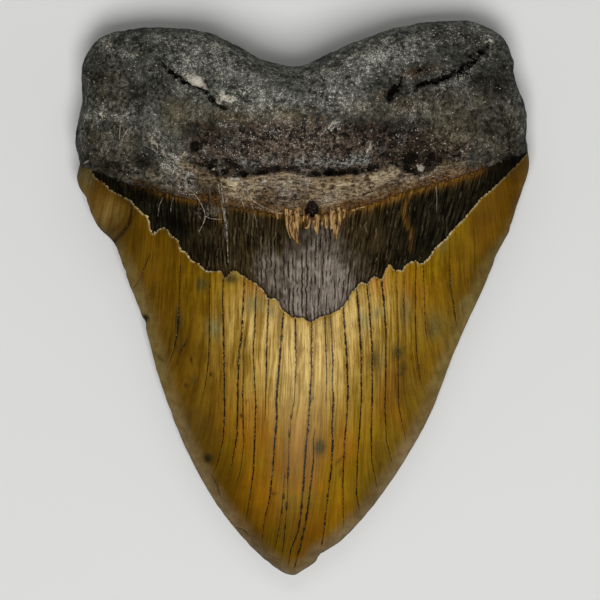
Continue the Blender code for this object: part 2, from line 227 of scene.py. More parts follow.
# Cracks of the enamel from left to right: place across, height, and how strong it is there
CRACKS = [
    [(-31.4, 12.9, 0.2), (-31.9, 2.5, 0.3), (-32.1, -2.7, 0.5), (-32.4, -8.0, 0.6),
     (-33.4, -13.2, 0.4), (-36.6, -21.0, 0), (-41.0, -29.0, 0)],
    [(-23.8, 7.7, 0.3), (-24.0, -8.0, 0.4), (-24.3, -15.8, 0.45), (-25.1, -22.3, 0.3),
     (-27.6, -32.0, 0), (-32.0, -42.0, 0)],
    [(-20.4, 6.4, 0.4), (-20.6, -0.1, 0.6), (-20.4, -8.0, 0.7), (-20.2, -21.0, 0.9),
     (-20.1, -28.9, 0.7), (-20.6, -36.7, 0.5), (-22.0, -42.5, 0.3), (-25.5, -51.0, 0)],
    [(-14.9, 6.4, 0.6), (-15.2, -1.4, 0.8), (-15.7, -9.3, 0.9), (-16.5, -15.8, 1.0),
     (-16.7, -26.3, 0.8), (-16.9, -35.4, 0.7), (-18.2, -42.5, 0.3), (-22.0, -55.0, 0)],
    [(-13.4, 4.0, 0), (-14.0, -5.0, 0), (-15.2, -13.2, 0.4), (-15.4, -23.6, 0.5),
     (-15.2, -38.0, 0.3), (-16.0, -44.5, 0.2), (-19.6, -58.0, 0)],
    [(-11.9, 3.0, 0.5), (-12.3, -8.0, 0.6), (-12.7, -13.2, 0.5), (-12.3, -21.0, 0.5),
     (-12.0, -27.6, 0.6), (-12.3, -36.7, 0.7), (-12.7, -45.1, 0.7), (-13.5, -51.1, 0.4),
     (-15.6, -63.0, 0)],
    [(-8.6, 0.1, 0.6), (-8.8, -4.0, 0.7), (-9.1, -10.6, 0.8), (-9.3, -18.4, 0.7),
     (-9.4, -25.0, 0.4), (-9.8, -36.0, 0), (-10.9, -51.6, 0), (-13.0, -66.0, 0)],
    [(-4.7, -3.0, 0.7), (-5.1, -6.7, 0.9), (-5.5, -11.9, 1.0), (-6.1, -19.7, 0.9),
     (-6.7, -26.3, 1.0), (-6.5, -30.2, 1.0), (-7.1, -36.7, 0.9), (-7.7, -45.1, 0.7),
     (-8.4, -51.6, 0.7), (-9.9, -57.6, 0.4), (-11.0, -68.0, 0)],
    [(-3.4, -20.0, 0), (-4.3, -36.0, 0), (-4.3, -45.0, 0.2), (-4.6, -49.8, 0.6),
     (-5.2, -55.0, 0.6), (-6.0, -60.2, 0.4), (-7.6, -68.0, 0)],
    [(-1.8, -4.8, 0.6), (-1.7, -10.6, 0.7), (-1.6, -17.1, 0.5), (-2.1, -26.3, 0.2),
     (-3.0, -31.5, 0.6), (-3.5, -36.7, 0.7), (-3.8, -45.9, 0.8), (-4.0, -52.4, 0.7),
     (-4.7, -62.8, 0.4), (-5.6, -70.0, 0)],
    [(2.6, -5.9, 0.8), (2.5, -13.2, 1.0), (2.5, -18.4, 1.0), (2.1, -25.0, 1.0),
     (1.7, -32.8, 1.0), (1.0, -39.3, 1.0), (0.5, -47.2, 1.0), (-0.3, -56.3, 0.8),
     (-1.0, -60.7, 0.7), (-2.9, -65.4, 0.5), (-3.8, -71.0, 0)],
    [(4.2, -4.0, 0), (4.2, -24.0, 0), (3.6, -32.0, 0), (2.9, -36.2, 0.4), (3.0, -41.9, 0.7),
     (2.4, -47.2, 0.8), (1.6, -53.7, 0.9), (0.8, -58.9, 0.9), (-0.3, -64.1, 0.9),
     (-2.1, -70.7, 0.5)],
    [(5.9, -4.3, 0.6), (6.1, -9.3, 0.7), (6.4, -17.1, 0.6), (6.3, -23.6, 0.3), (6.3, -32.0, 0),
     (6.2, -40.0, 0), (5.2, -50.0, 0), (3.9, -60.0, 0), (2.4, -68.0, 0)],
    [(7.3, -4.3, 0.5), (7.6, -9.3, 0.6), (8.0, -16.3, 0.8), (7.8, -22.3, 0.6), (8.2, -26.3, 0.8),
     (7.8, -32.8, 0.9), (8.0, -38.0, 0.8), (7.6, -44.5, 0.7), (6.5, -52.9, 0.7),
     (5.5, -62.3, 0.6), (4.6, -68.0, 0)],
    [(10.7, -2.5, 0.8), (11.1, -8.0, 0.9), (11.6, -14.5, 1.0), (11.9, -22.3, 1.0),
     (11.8, -28.9, 0.7), (11.2, -35.4, 0.7), (10.8, -42.5, 0.5), (10.7, -48.5, 0.5),
     (10.8, -55.8, 0.3), (11.2, -64.0, 0)],
    [(14.1, 3.0, 0.7), (14.6, -2.2, 0.9), (15.2, -10.6, 1.0), (15.4, -18.4, 0.9),
     (15.4, -26.3, 0.6), (15.0, -34.1, 0.6), (14.5, -41.4, 0.6), (14.2, -51.1, 0.4),
     (16.0, -60.0, 0)],
    [(16.7, 4.0, 0.8), (17.4, -1.4, 0.9), (18.2, -11.9, 0.8), (18.3, -25.0, 0.7),
     (18.0, -34.1, 0.6), (18.2, -41.9, 0.4), (21.0, -56.0, 0)],
    [(20.6, 5.1, 0.8), (21.2, -0.1, 0.9), (21.8, -8.0, 0.8), (21.8, -18.4, 0.6),
     (21.6, -27.6, 0.6), (22.0, -36.7, 0.3), (25.6, -50.0, 0)],
    [(24.6, 3.8, 0.25), (25.0, -8.0, 0.2), (25.0, -18.4, 0.5), (25.2, -27.6, 0.4),
     (28.6, -44.0, 0)],
    [(26.4, -0.1, 0.3), (26.9, -13.2, 0.2), (28.2, -24.0, 0), (32.4, -40.0, 0)],
    [(29.5, -6.7, 0.35), (29.8, -13.2, 0.3), (31.0, -21.0, 0.2), (36.6, -36.0, 0)],
    [(31.4, 8.2, 0.3), (32.1, -8.0, 0.25), (34.6, -20.0, 0), (40.0, -32.0, 0)],
    [(38.4, 9.0, 0.2), (38.7, 3.8, 0.4), (39.5, -0.7, 0.5), (40.2, -5.4, 0.3),
     (46.0, -20.0, 0)],
]
CRACK_PITCH = 2.8  # between the growth lines outside the cracks
CRACK_FAN = 0.010  # how fast those spread towards the cutting edges, for each millimetre down
CRACK_FAN_FROM = 12.0
CRACK_LEAST_FAN = 0.5
CRACK_LEAST_GAP = 0.25
CRACK_FADE = (2.0, 3.0)  # how far a crack runs on past its lowest and highest point
LIP_CRACK_MIRROR = 1.5
LIP_CRACK_SHARE = 0.75  # of the tongue side's strength
CRACK_DEPTH = 0.10
CRACK_HALF_WIDTH = 0.42
HAIRLINE_DEPTH = 0.08
HAIRLINES = [
    [(-39.7, 11.6), (-41.0, 8.5), (-42.1, 6.4), (-43.1, 4.0), (-44.4, 2.7)],
    [(-17.0, -59.8), (-15.4, -60.2), (-14.2, -61.6)],
    [(-23.4, -46.4), (-22.2, -48.6), (-21.6, -51.0)],
    # the fold's groove, drawn dark like a hairline: painted shade
    [(-44.2, 24.4), (-44.4, 21.8), (-45.2, 19.5), (-46.5, 17.6), (-48.1, 16.1), (-49.3, 14.8)],
]
HAIRLINE_REACH = (0.5, 1.1)
NO_HAIRLINE = 9.0  # the distance that stands for none near
BAND_LEAN = 0.22  # how far the band's grain leans outwards on the right, for each millimetre up
BAND_LEAN_LEVEL = 14.0
BAND_LEAN_FROM = 2.0
BAND_LEAN_WIDTH = 24.0

# Fine relief along the surface's normal
ROOT_GRAIN = [(0.30, 4.2), (0.24, 1.9), (0.18, 0.95)]  # depth and size of each kind of lump
PORE_DEPTH = 0.4
PORE_SIZE = 2.3
PORE_SHARE = 0.45  # of the places where a pore could be
PORE_RADIUS = 0.42  # of the pore size
PORE_DRAW = 7.31  # any number that isn't whole, so that each place draws its own chance
TROUGH_ROUGHER = 0.9
LEDGE_ROUGHER = 0.6
LEDGE_LAYERS = 0.30
HOLLOW_DEPTH = 0.9
CRUST_RISE = 0.25
CHIP_RISE = 0.30
BAND_GROOVES = 0.10
BAND_LUMPS = 0.08
CROWN_WAVES = 0.10
CROWN_STREAKS = 0.03
RELIEF_MARGIN = 0.3

# Soft patches of tone: place, radii, turn in degrees and strength
DUST = [  # chalky dust of the root
    (-51.5, 66.3, 3.5, 1.6, 30, 0.9), (-49.4, 65.2, 2, 1.5, 0, 0.9), (-45.5, 63.6, 2.8, 1.4, -10, 1),
    (-53.6, 48.2, 3.5, 1.6, 15, 1), (-50.2, 46.9, 3.5, 1.2, 0, 0.9), (-51.5, 50.8, 2.6, 1.6, 0, 0.7),
    (-44.2, 47.7, 1.4, 1.1, 0, 0.8), (-24, 62.5, 11, 5.8, 5, 0.85), (18.4, 62.6, 15, 7.5, 12, 0.75),
    (-23.5, 61.5, 3, 1.2, 0, 0.7), (-9.7, 50.8, 9, 4, 0, 0.65), (9.3, 53.5, 4, 5, 0, 0.65),
    (40, 53, 5, 4, 0, 0.35), (49.1, 67.3, 1.8, 1.6, 0, 0.7), (55.6, 52.1, 2.2, 1.6, 0, 0.5),
    (-37.2, 39.6, 2.5, 2.8, 30, 1.2), (-33.4, 35.4, 2.2, 2.6, 30, 1.2), (-29.6, 30.6, 2.4, 4.4, 30, 1.3),
    (3.4, 40.4, 5, 4, 0, 0.45), (-8.4, 43, 3.2, 1.8, 0, 0.6), (8.6, 44.6, 3.4, 2, 25, 1),
    (17, 37.6, 0.5, 1.9, -30, 0.9), (-13, 41.5, 2.6, 1.4, 0, 0.8), (-18.6, 44.8, 2.4, 0.8, 0, 0.9),
    (7.3, 52.1, 5, 3.4, 0, 1.1), (-16, 53, 6, 3.4, 0, 0.9), (-28, 67.6, 12, 2.4, 0, 0.75),
    (-0.5, 60, 5, 3.4, 0, 0.95), (18, 60, 6, 3, 0, 0.30), (41.6, 58.2, 6, 1.6, 38, 1),
    (-1, 66, 9, 3, 0, 0.4), (38, 67, 8, 3, 0, 0.3), (28, 49.6, 7, 3.4, 0, 0.6),
    (-12, 37.5, 12, 3.2, 0, 0.3), (-1, 59.6, 12, 3.4, 0, 0.55), (37, 58.8, 3, 1.2, 30, 0.9),
]
OLIVE = [  # murky olive clouds of the enamel
    (-26.1, 3.9, 1.4, 1.7, 0, 1.6), (4.6, -38.4, 1.5, 2.2, 0, 1.4), (-24.3, -41.4, 1, 1.3, 30, 1.6),
    (24.8, -13.7, 1.6, 1.8, 0, 1.2), (34.6, -7.2, 2.6, 3.6, 0, 0.8), (-18.3, 5.2, 2.3, 1.2, 0, 1.2),
    (18.6, -15.8, 1.6, 2.2, 0, 0.7), (26.2, -17.8, 1.4, 1.8, 0, 0.8), (-32.2, -5.5, 0.8, 3.2, 0, 1.3),
    (-31.4, -12.4, 0.6, 2, -25, 1.1), (-33, -11.6, 0.4, 2, 20, 1), (26.4, -2.6, 0.9, 3.6, 0, 0.6),
    (-27, -33, 5, 7, 20, 0.35), (21, -40, 4, 8, -25, 0.40), (-28.4, -21, 1.2, 1.6, 0, 0.5),
    (25.6, -19.4, 1, 0.7, 0, 1), (28, -24, 5, 5, 0, 0.35), (18.6, 6.2, 1.2, 1, 0, 0.7),
    (-40.9, -4.9, 1, 1.1, 0, 1.5), (16, -48, 3, 6, -20, 0.35), (-15, -12, 0.8, 4, 0, 0.4),
]
VERDIGRIS = [  # pale grey-green clouds of the enamel
    (-56.6, 32.2, 2.6, 3.4, 0, 0.6), (-22.7, -7.5, 1.9, 2.6, 0, 0.9), (-12.3, -1.4, 2, 2.4, 0, 1),
    (-17.6, 6.6, 1.8, 0.9, 0, 0.6), (34.7, -6.7, 3, 3.4, 0, 0.4), (-8, -3, 1.5, 2, 0, 0.7),
    (19.3, -3.6, 1.6, 1.6, 0, 0.9), (42.6, -0.9, 1.4, 2, -25, 0.5), (16, -5.6, 2.2, 3, 0, 0.7),
    (27, -3, 1.6, 4, 0, 0.5), (-8, 1.4, 3, 0.8, -35, 0.7), (36, 14, 2, 1.6, 40, 0.4),
    (20.6, -16, 2, 5, 0, 0.4),
]
BROWN_SPOTS = [  # small brown spots of the enamel
    (-15.7, -30.2, 0.5, 0.6, 0, 1), (-14.6, -26.4, 0.7, 0.4, 0, 0.5), (9.9, -41.8, 1.5, 0.5, 35, 0.6),
    (10.3, -44.6, 0.7, 1.6, -20, 0.5), (2.5, -25.6, 0.9, 0.3, 0, 0.6), (-23.6, -19.5, 0.5, 0.6, 0, 0.9),
    (-30.9, -12.4, 0.35, 2, -30, 0.9), (20.4, -43.4, 0.4, 1, 0, 0.6), (-7.3, -50.6, 0.9, 0.4, 0, 0.6),
    (-32.3, -5.8, 0.5, 2, 0, 0.8), (-30.2, -22.4, 0.5, 0.6, 0, 0.9), (-28.8, -15.8, 0.35, 1.4, 10, 0.7),
    (-24.8, -41.6, 0.9, 0.9, 0, 0.9), (10.8, -6, 0.5, 0.5, 0, 0.5), (17.6, 1.2, 0.4, 0.5, 0, 0.7),
    (-41, -4.9, 0.9, 0.8, 0, 1.2), (-37, -15.4, 1.6, 0.3, -40, 0.5),
]
CROWN_PAINTED_HIGHLIGHT = [  # painted highlight of the key light on the enamel, where it is palest
    (1, -14, 15, 14, 0, 1), (-11.5, -7, 8, 9, 0, 0.86), (14, -5, 10, 9, 0, 0.86),
    (-50.4, 22.4, 4, 4, 0, 0.34), (0, -29, 5, 10, 0, 0.30),
]
BAND_GREY_AND_SHEEN = [  # the grey middle of the band, lightened further by a painted sheen of the key light
    (3.6, 3, 11, 12, 0, 1), (5, 13, 8, 8, 0, 0.55), (-8.4, 7.2, 4.8, 7.2, 0, 0.62),
]
HOLLOWS = [  # hollows of the root and trough, sunk in and darkened with painted shade
    (-27.7, 39.3, 1.3, 1.8, 0, 1.1), (-23.3, 34.4, 1.2, 1, 0, 0.9), (-12, 33.9, 8, 1, 0, 0.55),
    (-21.9, 32.5, 1.4, 0.7, -55, 0.8), (-18.3, 35.1, 2.4, 1.3, -10, 0.7), (10, 33.2, 9, 0.9, 3, 0.5),
    (-17.2, 34.1, 2.1, 1, -15, 1), (-15.2, 32.5, 1.6, 0.9, -15, 0.9), (28.5, 36, 5, 2.4, 15, 0.5),
    (-13.8, 35.1, 0.7, 1.6, 0, 0.7), (-10.7, 32.9, 1.6, 0.8, 0, 0.8), (-7.1, 34.1, 2.6, 0.6, 0, 0.7),
    (-2.6, 34.1, 2.4, 0.6, 3, 0.7), (-4.2, 35.7, 1.6, 1, 0, 0.5), (3.4, 32.7, 1.8, 0.9, 0, 0.7),
    (7.1, 32.8, 1.8, 0.9, 0, 0.85), (10.7, 32.8, 2.1, 0.8, 0, 0.8), (13.8, 33, 1.3, 1, 0, 0.8),
    (18, 35.4, 1, 1.8, 0, 0.6), (21.4, 37, 2.1, 1.6, 20, 0.7), (23.3, 39.8, 2.1, 1.3, 30, 0.7),
    (28.2, 36.4, 2.6, 1.8, 15, 0.9), (27.4, 34.1, 1.6, 1.3, -20, 0.9), (32.7, 34.9, 1.6, 1, 60, 0.9),
    (35.3, 36.4, 1.8, 0.8, 20, 0.7), (39.2, 38, 1.8, 0.8, 20, 0.5), (30.3, 40.1, 3.1, 1.6, 20, 0.55),
    (12, 40.9, 1.6, 1.8, 0, 0.5), (14.4, 44, 1.6, 1.6, 0, 0.5), (-18, 44, 1.3, 1.3, 0, 0.5),
    (-22.7, 43.8, 3.1, 1.3, 0, 0.5), (-30.6, 41.7, 1.6, 1.6, 0, 0.4), (22.7, 52.4, 0.8, 1.8, -15, 1),
    (2.6, 23, 1.5, 2.2, 0, 1.2), (5, 43.5, 3, 1, 0, 0.5), (24, 44.6, 4, 1.2, 10, 0.55),
]
WARM = [  # earthy stains of the root
    (26, 50.4, 8, 2.6, 0, 0.9), (37, 50, 8, 4, 0, 0.55), (17, 49.6, 6, 2, 0, 0.6),
    (-24, 49, 9, 2, 0, 0.5), (-6, 48.4, 8, 1.8, 0, 0.5), (-47, 42, 9, 4, 0, 0.5),
    (-49, 34.5, 10, 5, -12, 0.9), (40, 42, 8, 4, 0, 0.6), (-40, 31, 9, 4, -15, 0.9),
    (50, 38, 7, 5, 15, 0.7), (54, 48, 4, 8, 0, 0.3), (-49, 52, 4, 6, 0, 0.35),
    (-32, 28.6, 3.4, 3.4, 0, 0.9), (-32, 36.4, 3, 3, 0, 0.5), (52, 38, 6, 5, 0, 0.5),
    (30, 59, 5, 1.6, 15, 0.7),
]
CRUST = [  # grey crust that sits above the ledge
    (3.9, 35.7, 1.8, 1.8, 0, 0.7), (7.3, 35.7, 2.1, 1, 0, 0.5), (11.5, 35.1, 2.4, 0.9, 8, 0.8),
    (14.4, 36.2, 2.4, 1.3, 15, 1), (16.5, 36.4, 1, 1.6, 0, 0.9), (9.9, 34.4, 3.7, 0.7, 5, 0.6),
    (-15.2, 35.1, 1.3, 1.3, 0, 0.7), (-12.5, 34.6, 1, 1.6, 0, 0.6), (-20.9, 33.8, 0.7, 2.4, 10, 0.5),
    (-25.3, 38.5, 1.3, 0.8, 0, 0.5), (-19.3, 40.4, 3.7, 1.8, 0, 0.3), (-8.4, 35.9, 2.4, 1.3, 0, 0.35),
    (-1.3, 35.4, 1.6, 1.3, 0, 0.6), (0.3, 35.1, 0.4, 2.1, 0, 0.9), (25.3, 41.7, 1.3, 1.6, 30, 0.35),
    (20.9, 38.5, 2.1, 1.3, 0, 0.3), (-23.3, 36.4, 1.6, 1, 0, 0.3),
]
CREAM = [  # cream layers of the ledge
    (-17.5, 29.1, 2.6, 3.1, 0, 1), (-15.4, 26.3, 2.1, 1, -35, 0.8), (-11.5, 31, 3.7, 1, 0, 0.6),
    (-5.2, 30.7, 3.7, 1.6, 0, 0.5), (-3.1, 29.1, 2.4, 0.7, 0, 0.8), (-13.6, 28.6, 2.6, 0.8, 0, 0.8),
    (-13.1, 27.3, 0.5, 2.1, 0, 0.6), (-0.5, 31.7, 5.2, 1, 0, 0.4), (19.1, 31.2, 4.7, 1.6, 12, 1),
    (12.5, 29.7, 5.7, 0.5, 3, 0.9), (23.5, 33.3, 2.6, 1.6, 20, 0.7), (21.7, 26.8, 1, 1.6, -30, 0.5),
    (28.2, 30.7, 2.6, 1.8, 20, 0.6), (7.3, 26, 3.1, 2.6, 0, 0.45), (5.2, 28.1, 2.6, 2.1, 0, 0.35),
    (26.9, 28.6, 2.1, 1, 0, 0.4),
]
UMBER = [  # reddish brown stains of the root and ledge
    (-22.7, 26, 2.4, 2.1, 0, 0.7), (-24.8, 26.8, 0.8, 2.1, 0, 0.8), (-15.4, 24.2, 2.4, 1, -10, 0.9),
    (-13.6, 24.4, 1.6, 1, 0, 0.9), (-10.7, 25.2, 1.3, 1.3, 0, 0.7), (-8.9, 24.2, 2.1, 1, 0, 0.8),
    (-4.4, 23.8, 1, 1.6, 0, 0.8), (-7.8, 26.5, 1.6, 2.1, 0, 0.4), (11.2, 23.9, 1.8, 1, 0, 0.9),
    (15.7, 25.2, 2.1, 1, 15, 0.6), (21.7, 25.7, 3.1, 1, 20, 0.8), (24.3, 27.3, 2.1, 0.8, 25, 0.8),
    (7.3, 22.6, 1, 1.3, 0, 0.8), (-2.4, 22.6, 0.5, 1.3, 0, 0.8), (13.1, 24.7, 1.3, 1.6, 0, 0.4),
    (-16.2, 27.8, 0.8, 0.8, 0, 0.5), (30, 58.8, 4.4, 1, 15, 1.2), (20.6, 52.4, 2.6, 1, 35, 0.9),
    (-17.5, 46.8, 6, 0.8, -6, 0.7), (-25.5, 45, 2.6, 0.9, -30, 0.6), (15, 24.8, 4.6, 0.9, 14, 0.9),
    (24, 27.6, 4, 0.9, 20, 0.9), (35, 31.4, 4, 0.8, 20, 0.6), (-18, 25, 5, 1, -8, 0.7),
    (2, 46.6, 8, 0.8, 0, 0.4), (0, 23, 0.6, 1.4, 0, 0.8), (9.4, 23, 0.8, 1.2, 0, 0.8),
    (32, 29.8, 3, 0.8, 22, 0.6),
]
FIBRE = [  # fibrous stains of the root
    (-32.4, 47.4, 3.7, 5.2, 0, 0.9), (-18.8, 46.9, 9.1, 2.4, 0, 0.7), (-4.4, 47.4, 5.2, 1.8, 0, 0.7),
    (-48.9, 56, 3.7, 4.2, 0, 0.35), (40, 45.6, 9.1, 5.7, 0, 0.7), (46.5, 50.8, 4.7, 4.2, 0, 0.5),
    (-44.9, 39.1, 5.2, 3.1, 0, 0.35), (-23.5, 29.1, 3.1, 3.1, 0, 0.8), (22, 47.6, 8, 2.2, 5, 0.5),
]
ORANGE = [  # ruddier stretches of the enamel
    (-52, 23, 6, 8, 0, 1), (54, 27, 6, 10, 0, 0.9), (48, 17, 5, 8, 0, 0.7), (-13, -34, 7, 8, 0, 0.9),
    (23, -23, 4, 9, 0, 0.8), (19.5, 3, 3.4, 2.6, 0, 1), (-12, 2.6, 4, 2.4, 0, 0.9),
    (-32, -14, 3, 5, -20, 0.8), (0, -42, 12, 12, 0, 0.6), (-12, -52, 8, 9, 0, 0.9),
    (11, -38, 4, 7, 0, 0.7), (28, 3, 4, 6, 0, 0.6), (-20, -30, 5, 9, 0, 0.6), (-35, 3, 4, 8, 0, 0.5),
    (2, -60, 8, 8, 0, 0.7),
]
CURTAIN = [  # torn fibres of the root that hang over the band
    (-23.4, 25, 3, 4.6, 0, 1), (-19.8, 21.5, 0.8, 6.5, 3, 0.8), (-26.6, 22.6, 1, 3.6, 12, 0.6),
    (-29, 29, 3, 3, 0, 0.9),
]
MURK = [  # murky brown stretches of the root
    (-53.6, 57.3, 3.6, 6.2, 0, 0.8), (-52.8, 41.7, 4.2, 4.7, 0, 0.7), (-42.3, 52.1, 4.7, 3.7, 20, 0.6),
    (-34.5, 57.3, 2.6, 2.1, 0, 0.5), (41.3, 67.8, 9, 3.4, -15, 0.65), (50.4, 58.7, 3.6, 5.8, 0, 0.7),
    (53, 44.3, 3.4, 5.8, 0, 0.65), (-39.7, 35.1, 4.7, 2.1, -20, 0.7), (-50.2, 35.1, 4.2, 2.6, -20, 0.6),
    (41.3, 36.4, 5.2, 1.6, 20, 0.6), (25.6, 49.5, 4.2, 2.6, 0, 0.4), (-16.2, 54.2, 2.6, 2.1, 0, 0.4),
    (31, 39.5, 8, 3.6, 15, 0.85), (44, 55, 6, 4, 0, 0.45), (-29, 43, 4, 2, 0, 0.5),
    (-17, 34.5, 5, 2, 0, 0.6), (20, 43, 7, 2.6, 10, 0.35),
]
PAINTED_SHADE = [  # painted shade that darkens whatever colour lies there, where less light falls
    (-50, 34, 9, 6, -12, 0.78), (-40.5, 29, 7.5, 3.2, -15, 0.80), (-56, 36, 5, 7, 0, 0.55),
    (-42, 59, 12, 8, 0, 0.44), (-20, 42, 11, 5, 0, 0.58), (54, 36, 7, 9, 0, 0.68),
    (47, 46, 9, 6, 0, 0.55), (55, 26, 6, 8, 0, 0.48), (24, 44, 11, 6, 0, 0.60), (41, 61, 9, 6, 0, 0.62),
    (50, 57, 8, 8, 0, 0.66), (24, 53.6, 6, 4.4, 25, 0.74), (38.7, 52, 6, 4, 0, 0.46),
    (30, 38, 10, 4, 10, 0.40), (-50, 17, 6, 10, -35, 0.55), (-4, -64, 15, 11, 0, 0.58),
    (-4, -43, 14, 9, 0, 0.20), (-20, -50, 8, 14, 28, 0.24), (18, -54, 7, 12, -35, 0.30),
    (-34, -14, 4, 20, 14, 0.14), (34, -32, 5, 12, -28, 0.20), (50, 12, 5, 14, -35, 0.35),
    (-35, 27.5, 7, 3, -20, 0.55), (-14, 22, 10, 4, 0, 0.30), (-33, 19.6, 5.5, 3.6, -32, 0.84),
    (-24, 13.4, 4.5, 4.5, -30, 0.72), (-54, 60, 5, 7, 0, 0.45), (-8, 42, 10, 3, 0, 0.35),
    (-41.2, 35.8, 4, 5, -40, 0.87), (31, 59.6, 6, 3.6, 15, 0.70), (15.6, 44.2, 6, 3.4, 0, 0.72),
    (39, 36.4, 4, 2.8, 15, 0.60), (47, 36.4, 5, 4, 0, 0.66), (-23, 36.6, 6, 3, 0, 0.50),
    (-14, 43.8, 6, 2.4, -4, 0.58), (1, 15.2, 7, 2.4, 0, 0.30), (22, 29.4, 4, 2.4, 20, 0.35),
    (24, -23, 4, 9, -18, 0.32), (38.7, 12.9, 4, 4, 0, 0.30), (46.5, 20.8, 4, 6, -35, 0.32),
    (-16.2, 20.8, 3.5, 3.5, 0, 0.40), (-25.6, 29, 5, 4, 0, 0.55), (-24, 20.8, 3.8, 4, 0, 0.72),
    (-45, 27, 5, 3, -15, 0.70),
]
FORAMEN_SHADE = [  # painted shade in the opening of the foramen
    (2.8, 22.7, 1.25, 1.9, 0, 1.6),
]

# Which table each mark of the tongue side is made from
STAINS = {
    "dust": DUST, "olive": OLIVE, "verdigris": VERDIGRIS, "brown": BROWN_SPOTS, "painted_highlight": CROWN_PAINTED_HIGHLIGHT,
    "band_grey_and_sheen": BAND_GREY_AND_SHEEN, "hollow": HOLLOWS, "warm": WARM, "crust": CRUST, "cream": CREAM,
    "umber": UMBER, "fibre": FIBRE, "orange": ORANGE, "curtain": CURTAIN, "murk": MURK, "painted_shade": PAINTED_SHADE,
    "foramen": FORAMEN_SHADE,
}
# Those that come back mirrored on the hidden lip side, and how far each is moved right and up
LIP_STAINS = {
    "dust": (0, -3), "olive": (4, -6), "verdigris": (-3, -9), "orange": (0, -4), "brown": (0, 0),
    "fibre": (3, 2), "murk": (0, 0), "warm": (0, 0), "painted_shade": (0, 0),
}
LIP_PAINTED_SHADE = 0.5  # how strong the painted shade is there
LIP_SEAM = 0.5  # height of the root's edge over the enamel's there
LIP_JAGGED = 0.3  # how far that enamel's edge wanders
LIP_JAGGED_SIZE = 2.0
LIP_BORDER = 0.4  # how thick the pale crumbs lie on it
LIP_DEEP_SHADE = (0.35, 0.4)  # how much deeper colour and painted shade the enamel has in the middle, and what the sides add
LIP_GREY = 0.3
LIP_RUST = 0.8
LIP_RUST_WIDTH = 0.9
LIP_SPECKS_MOVED = (-3, -4)
LIP_MISSING = (
    "ledge", "trough", "hair_force", "crease", "foramen", "crust", "cream", "umber", "curtain", "painted_highlight",
    "crevice", "hollow",
)

# Stains along a line: its points, its half width and strength
RUST = [  # amber streaks along the band's upper edge
    ([(-42.5, 30.2), (-39.7, 29.2), (-35.8, 27.8), (-31.9, 26.6), (-27.4, 25.6)], 1.15, 0.9),
    ([(-22.5, 25.4), (-14.9, 23.7), (-10.5, 22.7), (-5.7, 22.1), (0.3, 21.6), (6.0, 22.4),
      (11.2, 23.2)], 0.9, 1.0),
    ([(-4.4, 21.4), (-1.6, 20.6), (3.0, 20.8), (7.0, 21.0), (9.8, 21.6)], 1.1, 0.85),
    ([(12.5, 23.7), (17.8, 24.8), (23.0, 26.3), (28.2, 28.2), (33.4, 30.0), (40.0, 31.5),
      (46.0, 33.6)], 1.5, 0.9),
    ([(26.8, 25.4), (26.4, 22.0), (27.4, 18.6)], 0.7, 0.60),
    ([(28.4, 18.0), (28.2, 13.0)], 0.7, 0.32),
    ([(-21.4, 25.0), (-21.6, 21.0)], 1.2, 0.6),
    ([(-24.0, 22.6), (-22.6, 21.4)], 1.0, 0.5),
]
CREASE = [  # painted shade along the fold at the left shoulder, darkest in its groove
    ([(-44.2, 24.6), (-44.4, 21.8), (-45.2, 19.5), (-46.5, 17.6), (-48.1, 16.1), (-49.5, 14.8)], 0.5, 0.95),
    ([(-45.4, 25.0), (-45.8, 21.8), (-47.2, 19.5), (-49.4, 17.9)], 0.45, 0.38),
    ([(-46.4, 26.0), (-47.2, 23.0), (-49.2, 20.8)], 0.4, 0.22),
]

# Pale chips of the root: place, radii and turn in degrees
SPECKS = [
    (30.8, 34.1, 1, 1.3, 0), (29.8, 33, 0.8, 0.5, 0), (32.9, 32, 0.8, 0.7, 0),
    (-25.1, 33.6, 0.8, 0.4, 20), (-22.7, 34.4, 0.3, 0.8, 0), (-30.3, 37.8, 0.8, 0.4, -20),
    (-38.4, 40.8, 1.6, 0.9, -40), (-36.2, 37.8, 1, 0.8, -30), (-34.2, 35.8, 0.9, 0.6, -40),
    (-31.8, 32.6, 0.8, 0.7, 0), (-30.4, 30.2, 1, 0.6, -50), (-29.4, 28.4, 1, 0.8, 0),
    (8.2, 45.6, 0.9, 0.5, 30), (7, 44.2, 0.4, 0.7, -30), (18, 43.5, 0.6, 0.3, 30),
    (-15.4, 30.4, 0.6, 1, 0), (-17.6, 31, 1.4, 0.5, 0), (-9.6, 30.6, 0.9, 0.4, 10),
    (8.6, 24.4, 0.4, 0.4, 0), (6, 25.2, 0.4, 0.4, 0), (1.8, 25.2, 0.4, 0.4, 0),
    (16.7, 37.8, 0.35, 1.5, -28), (48.9, 67.3, 0.7, 0.5, 0), (41.2, 57.4, 0.9, 0.5, 40),
    (-27.3, 56.5, 2.9, 1.5, -25), (-24.9, 54.9, 1.1, 0.7, -30), (-19.4, 51.9, 2.5, 1.2, -18),
    (-21.2, 50.6, 0.9, 0.4, -30), (43.1, 29.9, 0.4, 0.9, 10), (-43.1, 33.6, 0.5, 0.4, 0),
    (-56, 35.8, 0.7, 0.55, 30), (-53.4, 32, 0.75, 0.4, -40), (-28.9, 57.9, 0.9, 0.5, -30),
    (-50, 65.8, 1.1, 0.5, 20), (-45.4, 63.8, 1.2, 0.5, -10), (-51.6, 47.6, 1, 0.6, 0),
]

# How the enamel's colour deepens and takes painted shade towards each side, and where it stays paler near the
# tip
DEEP_SHADE_LEFT = (0.20, 0.85)
DEEP_SHADE_RIGHT = (0.30, 1.0)
DEEP_SHADE_RIGHT_MOST = 0.72
PALER_LOW = 0.25
PALER_FROM = (-30.0, -48.0)
PALER_WIDTH = 9.0

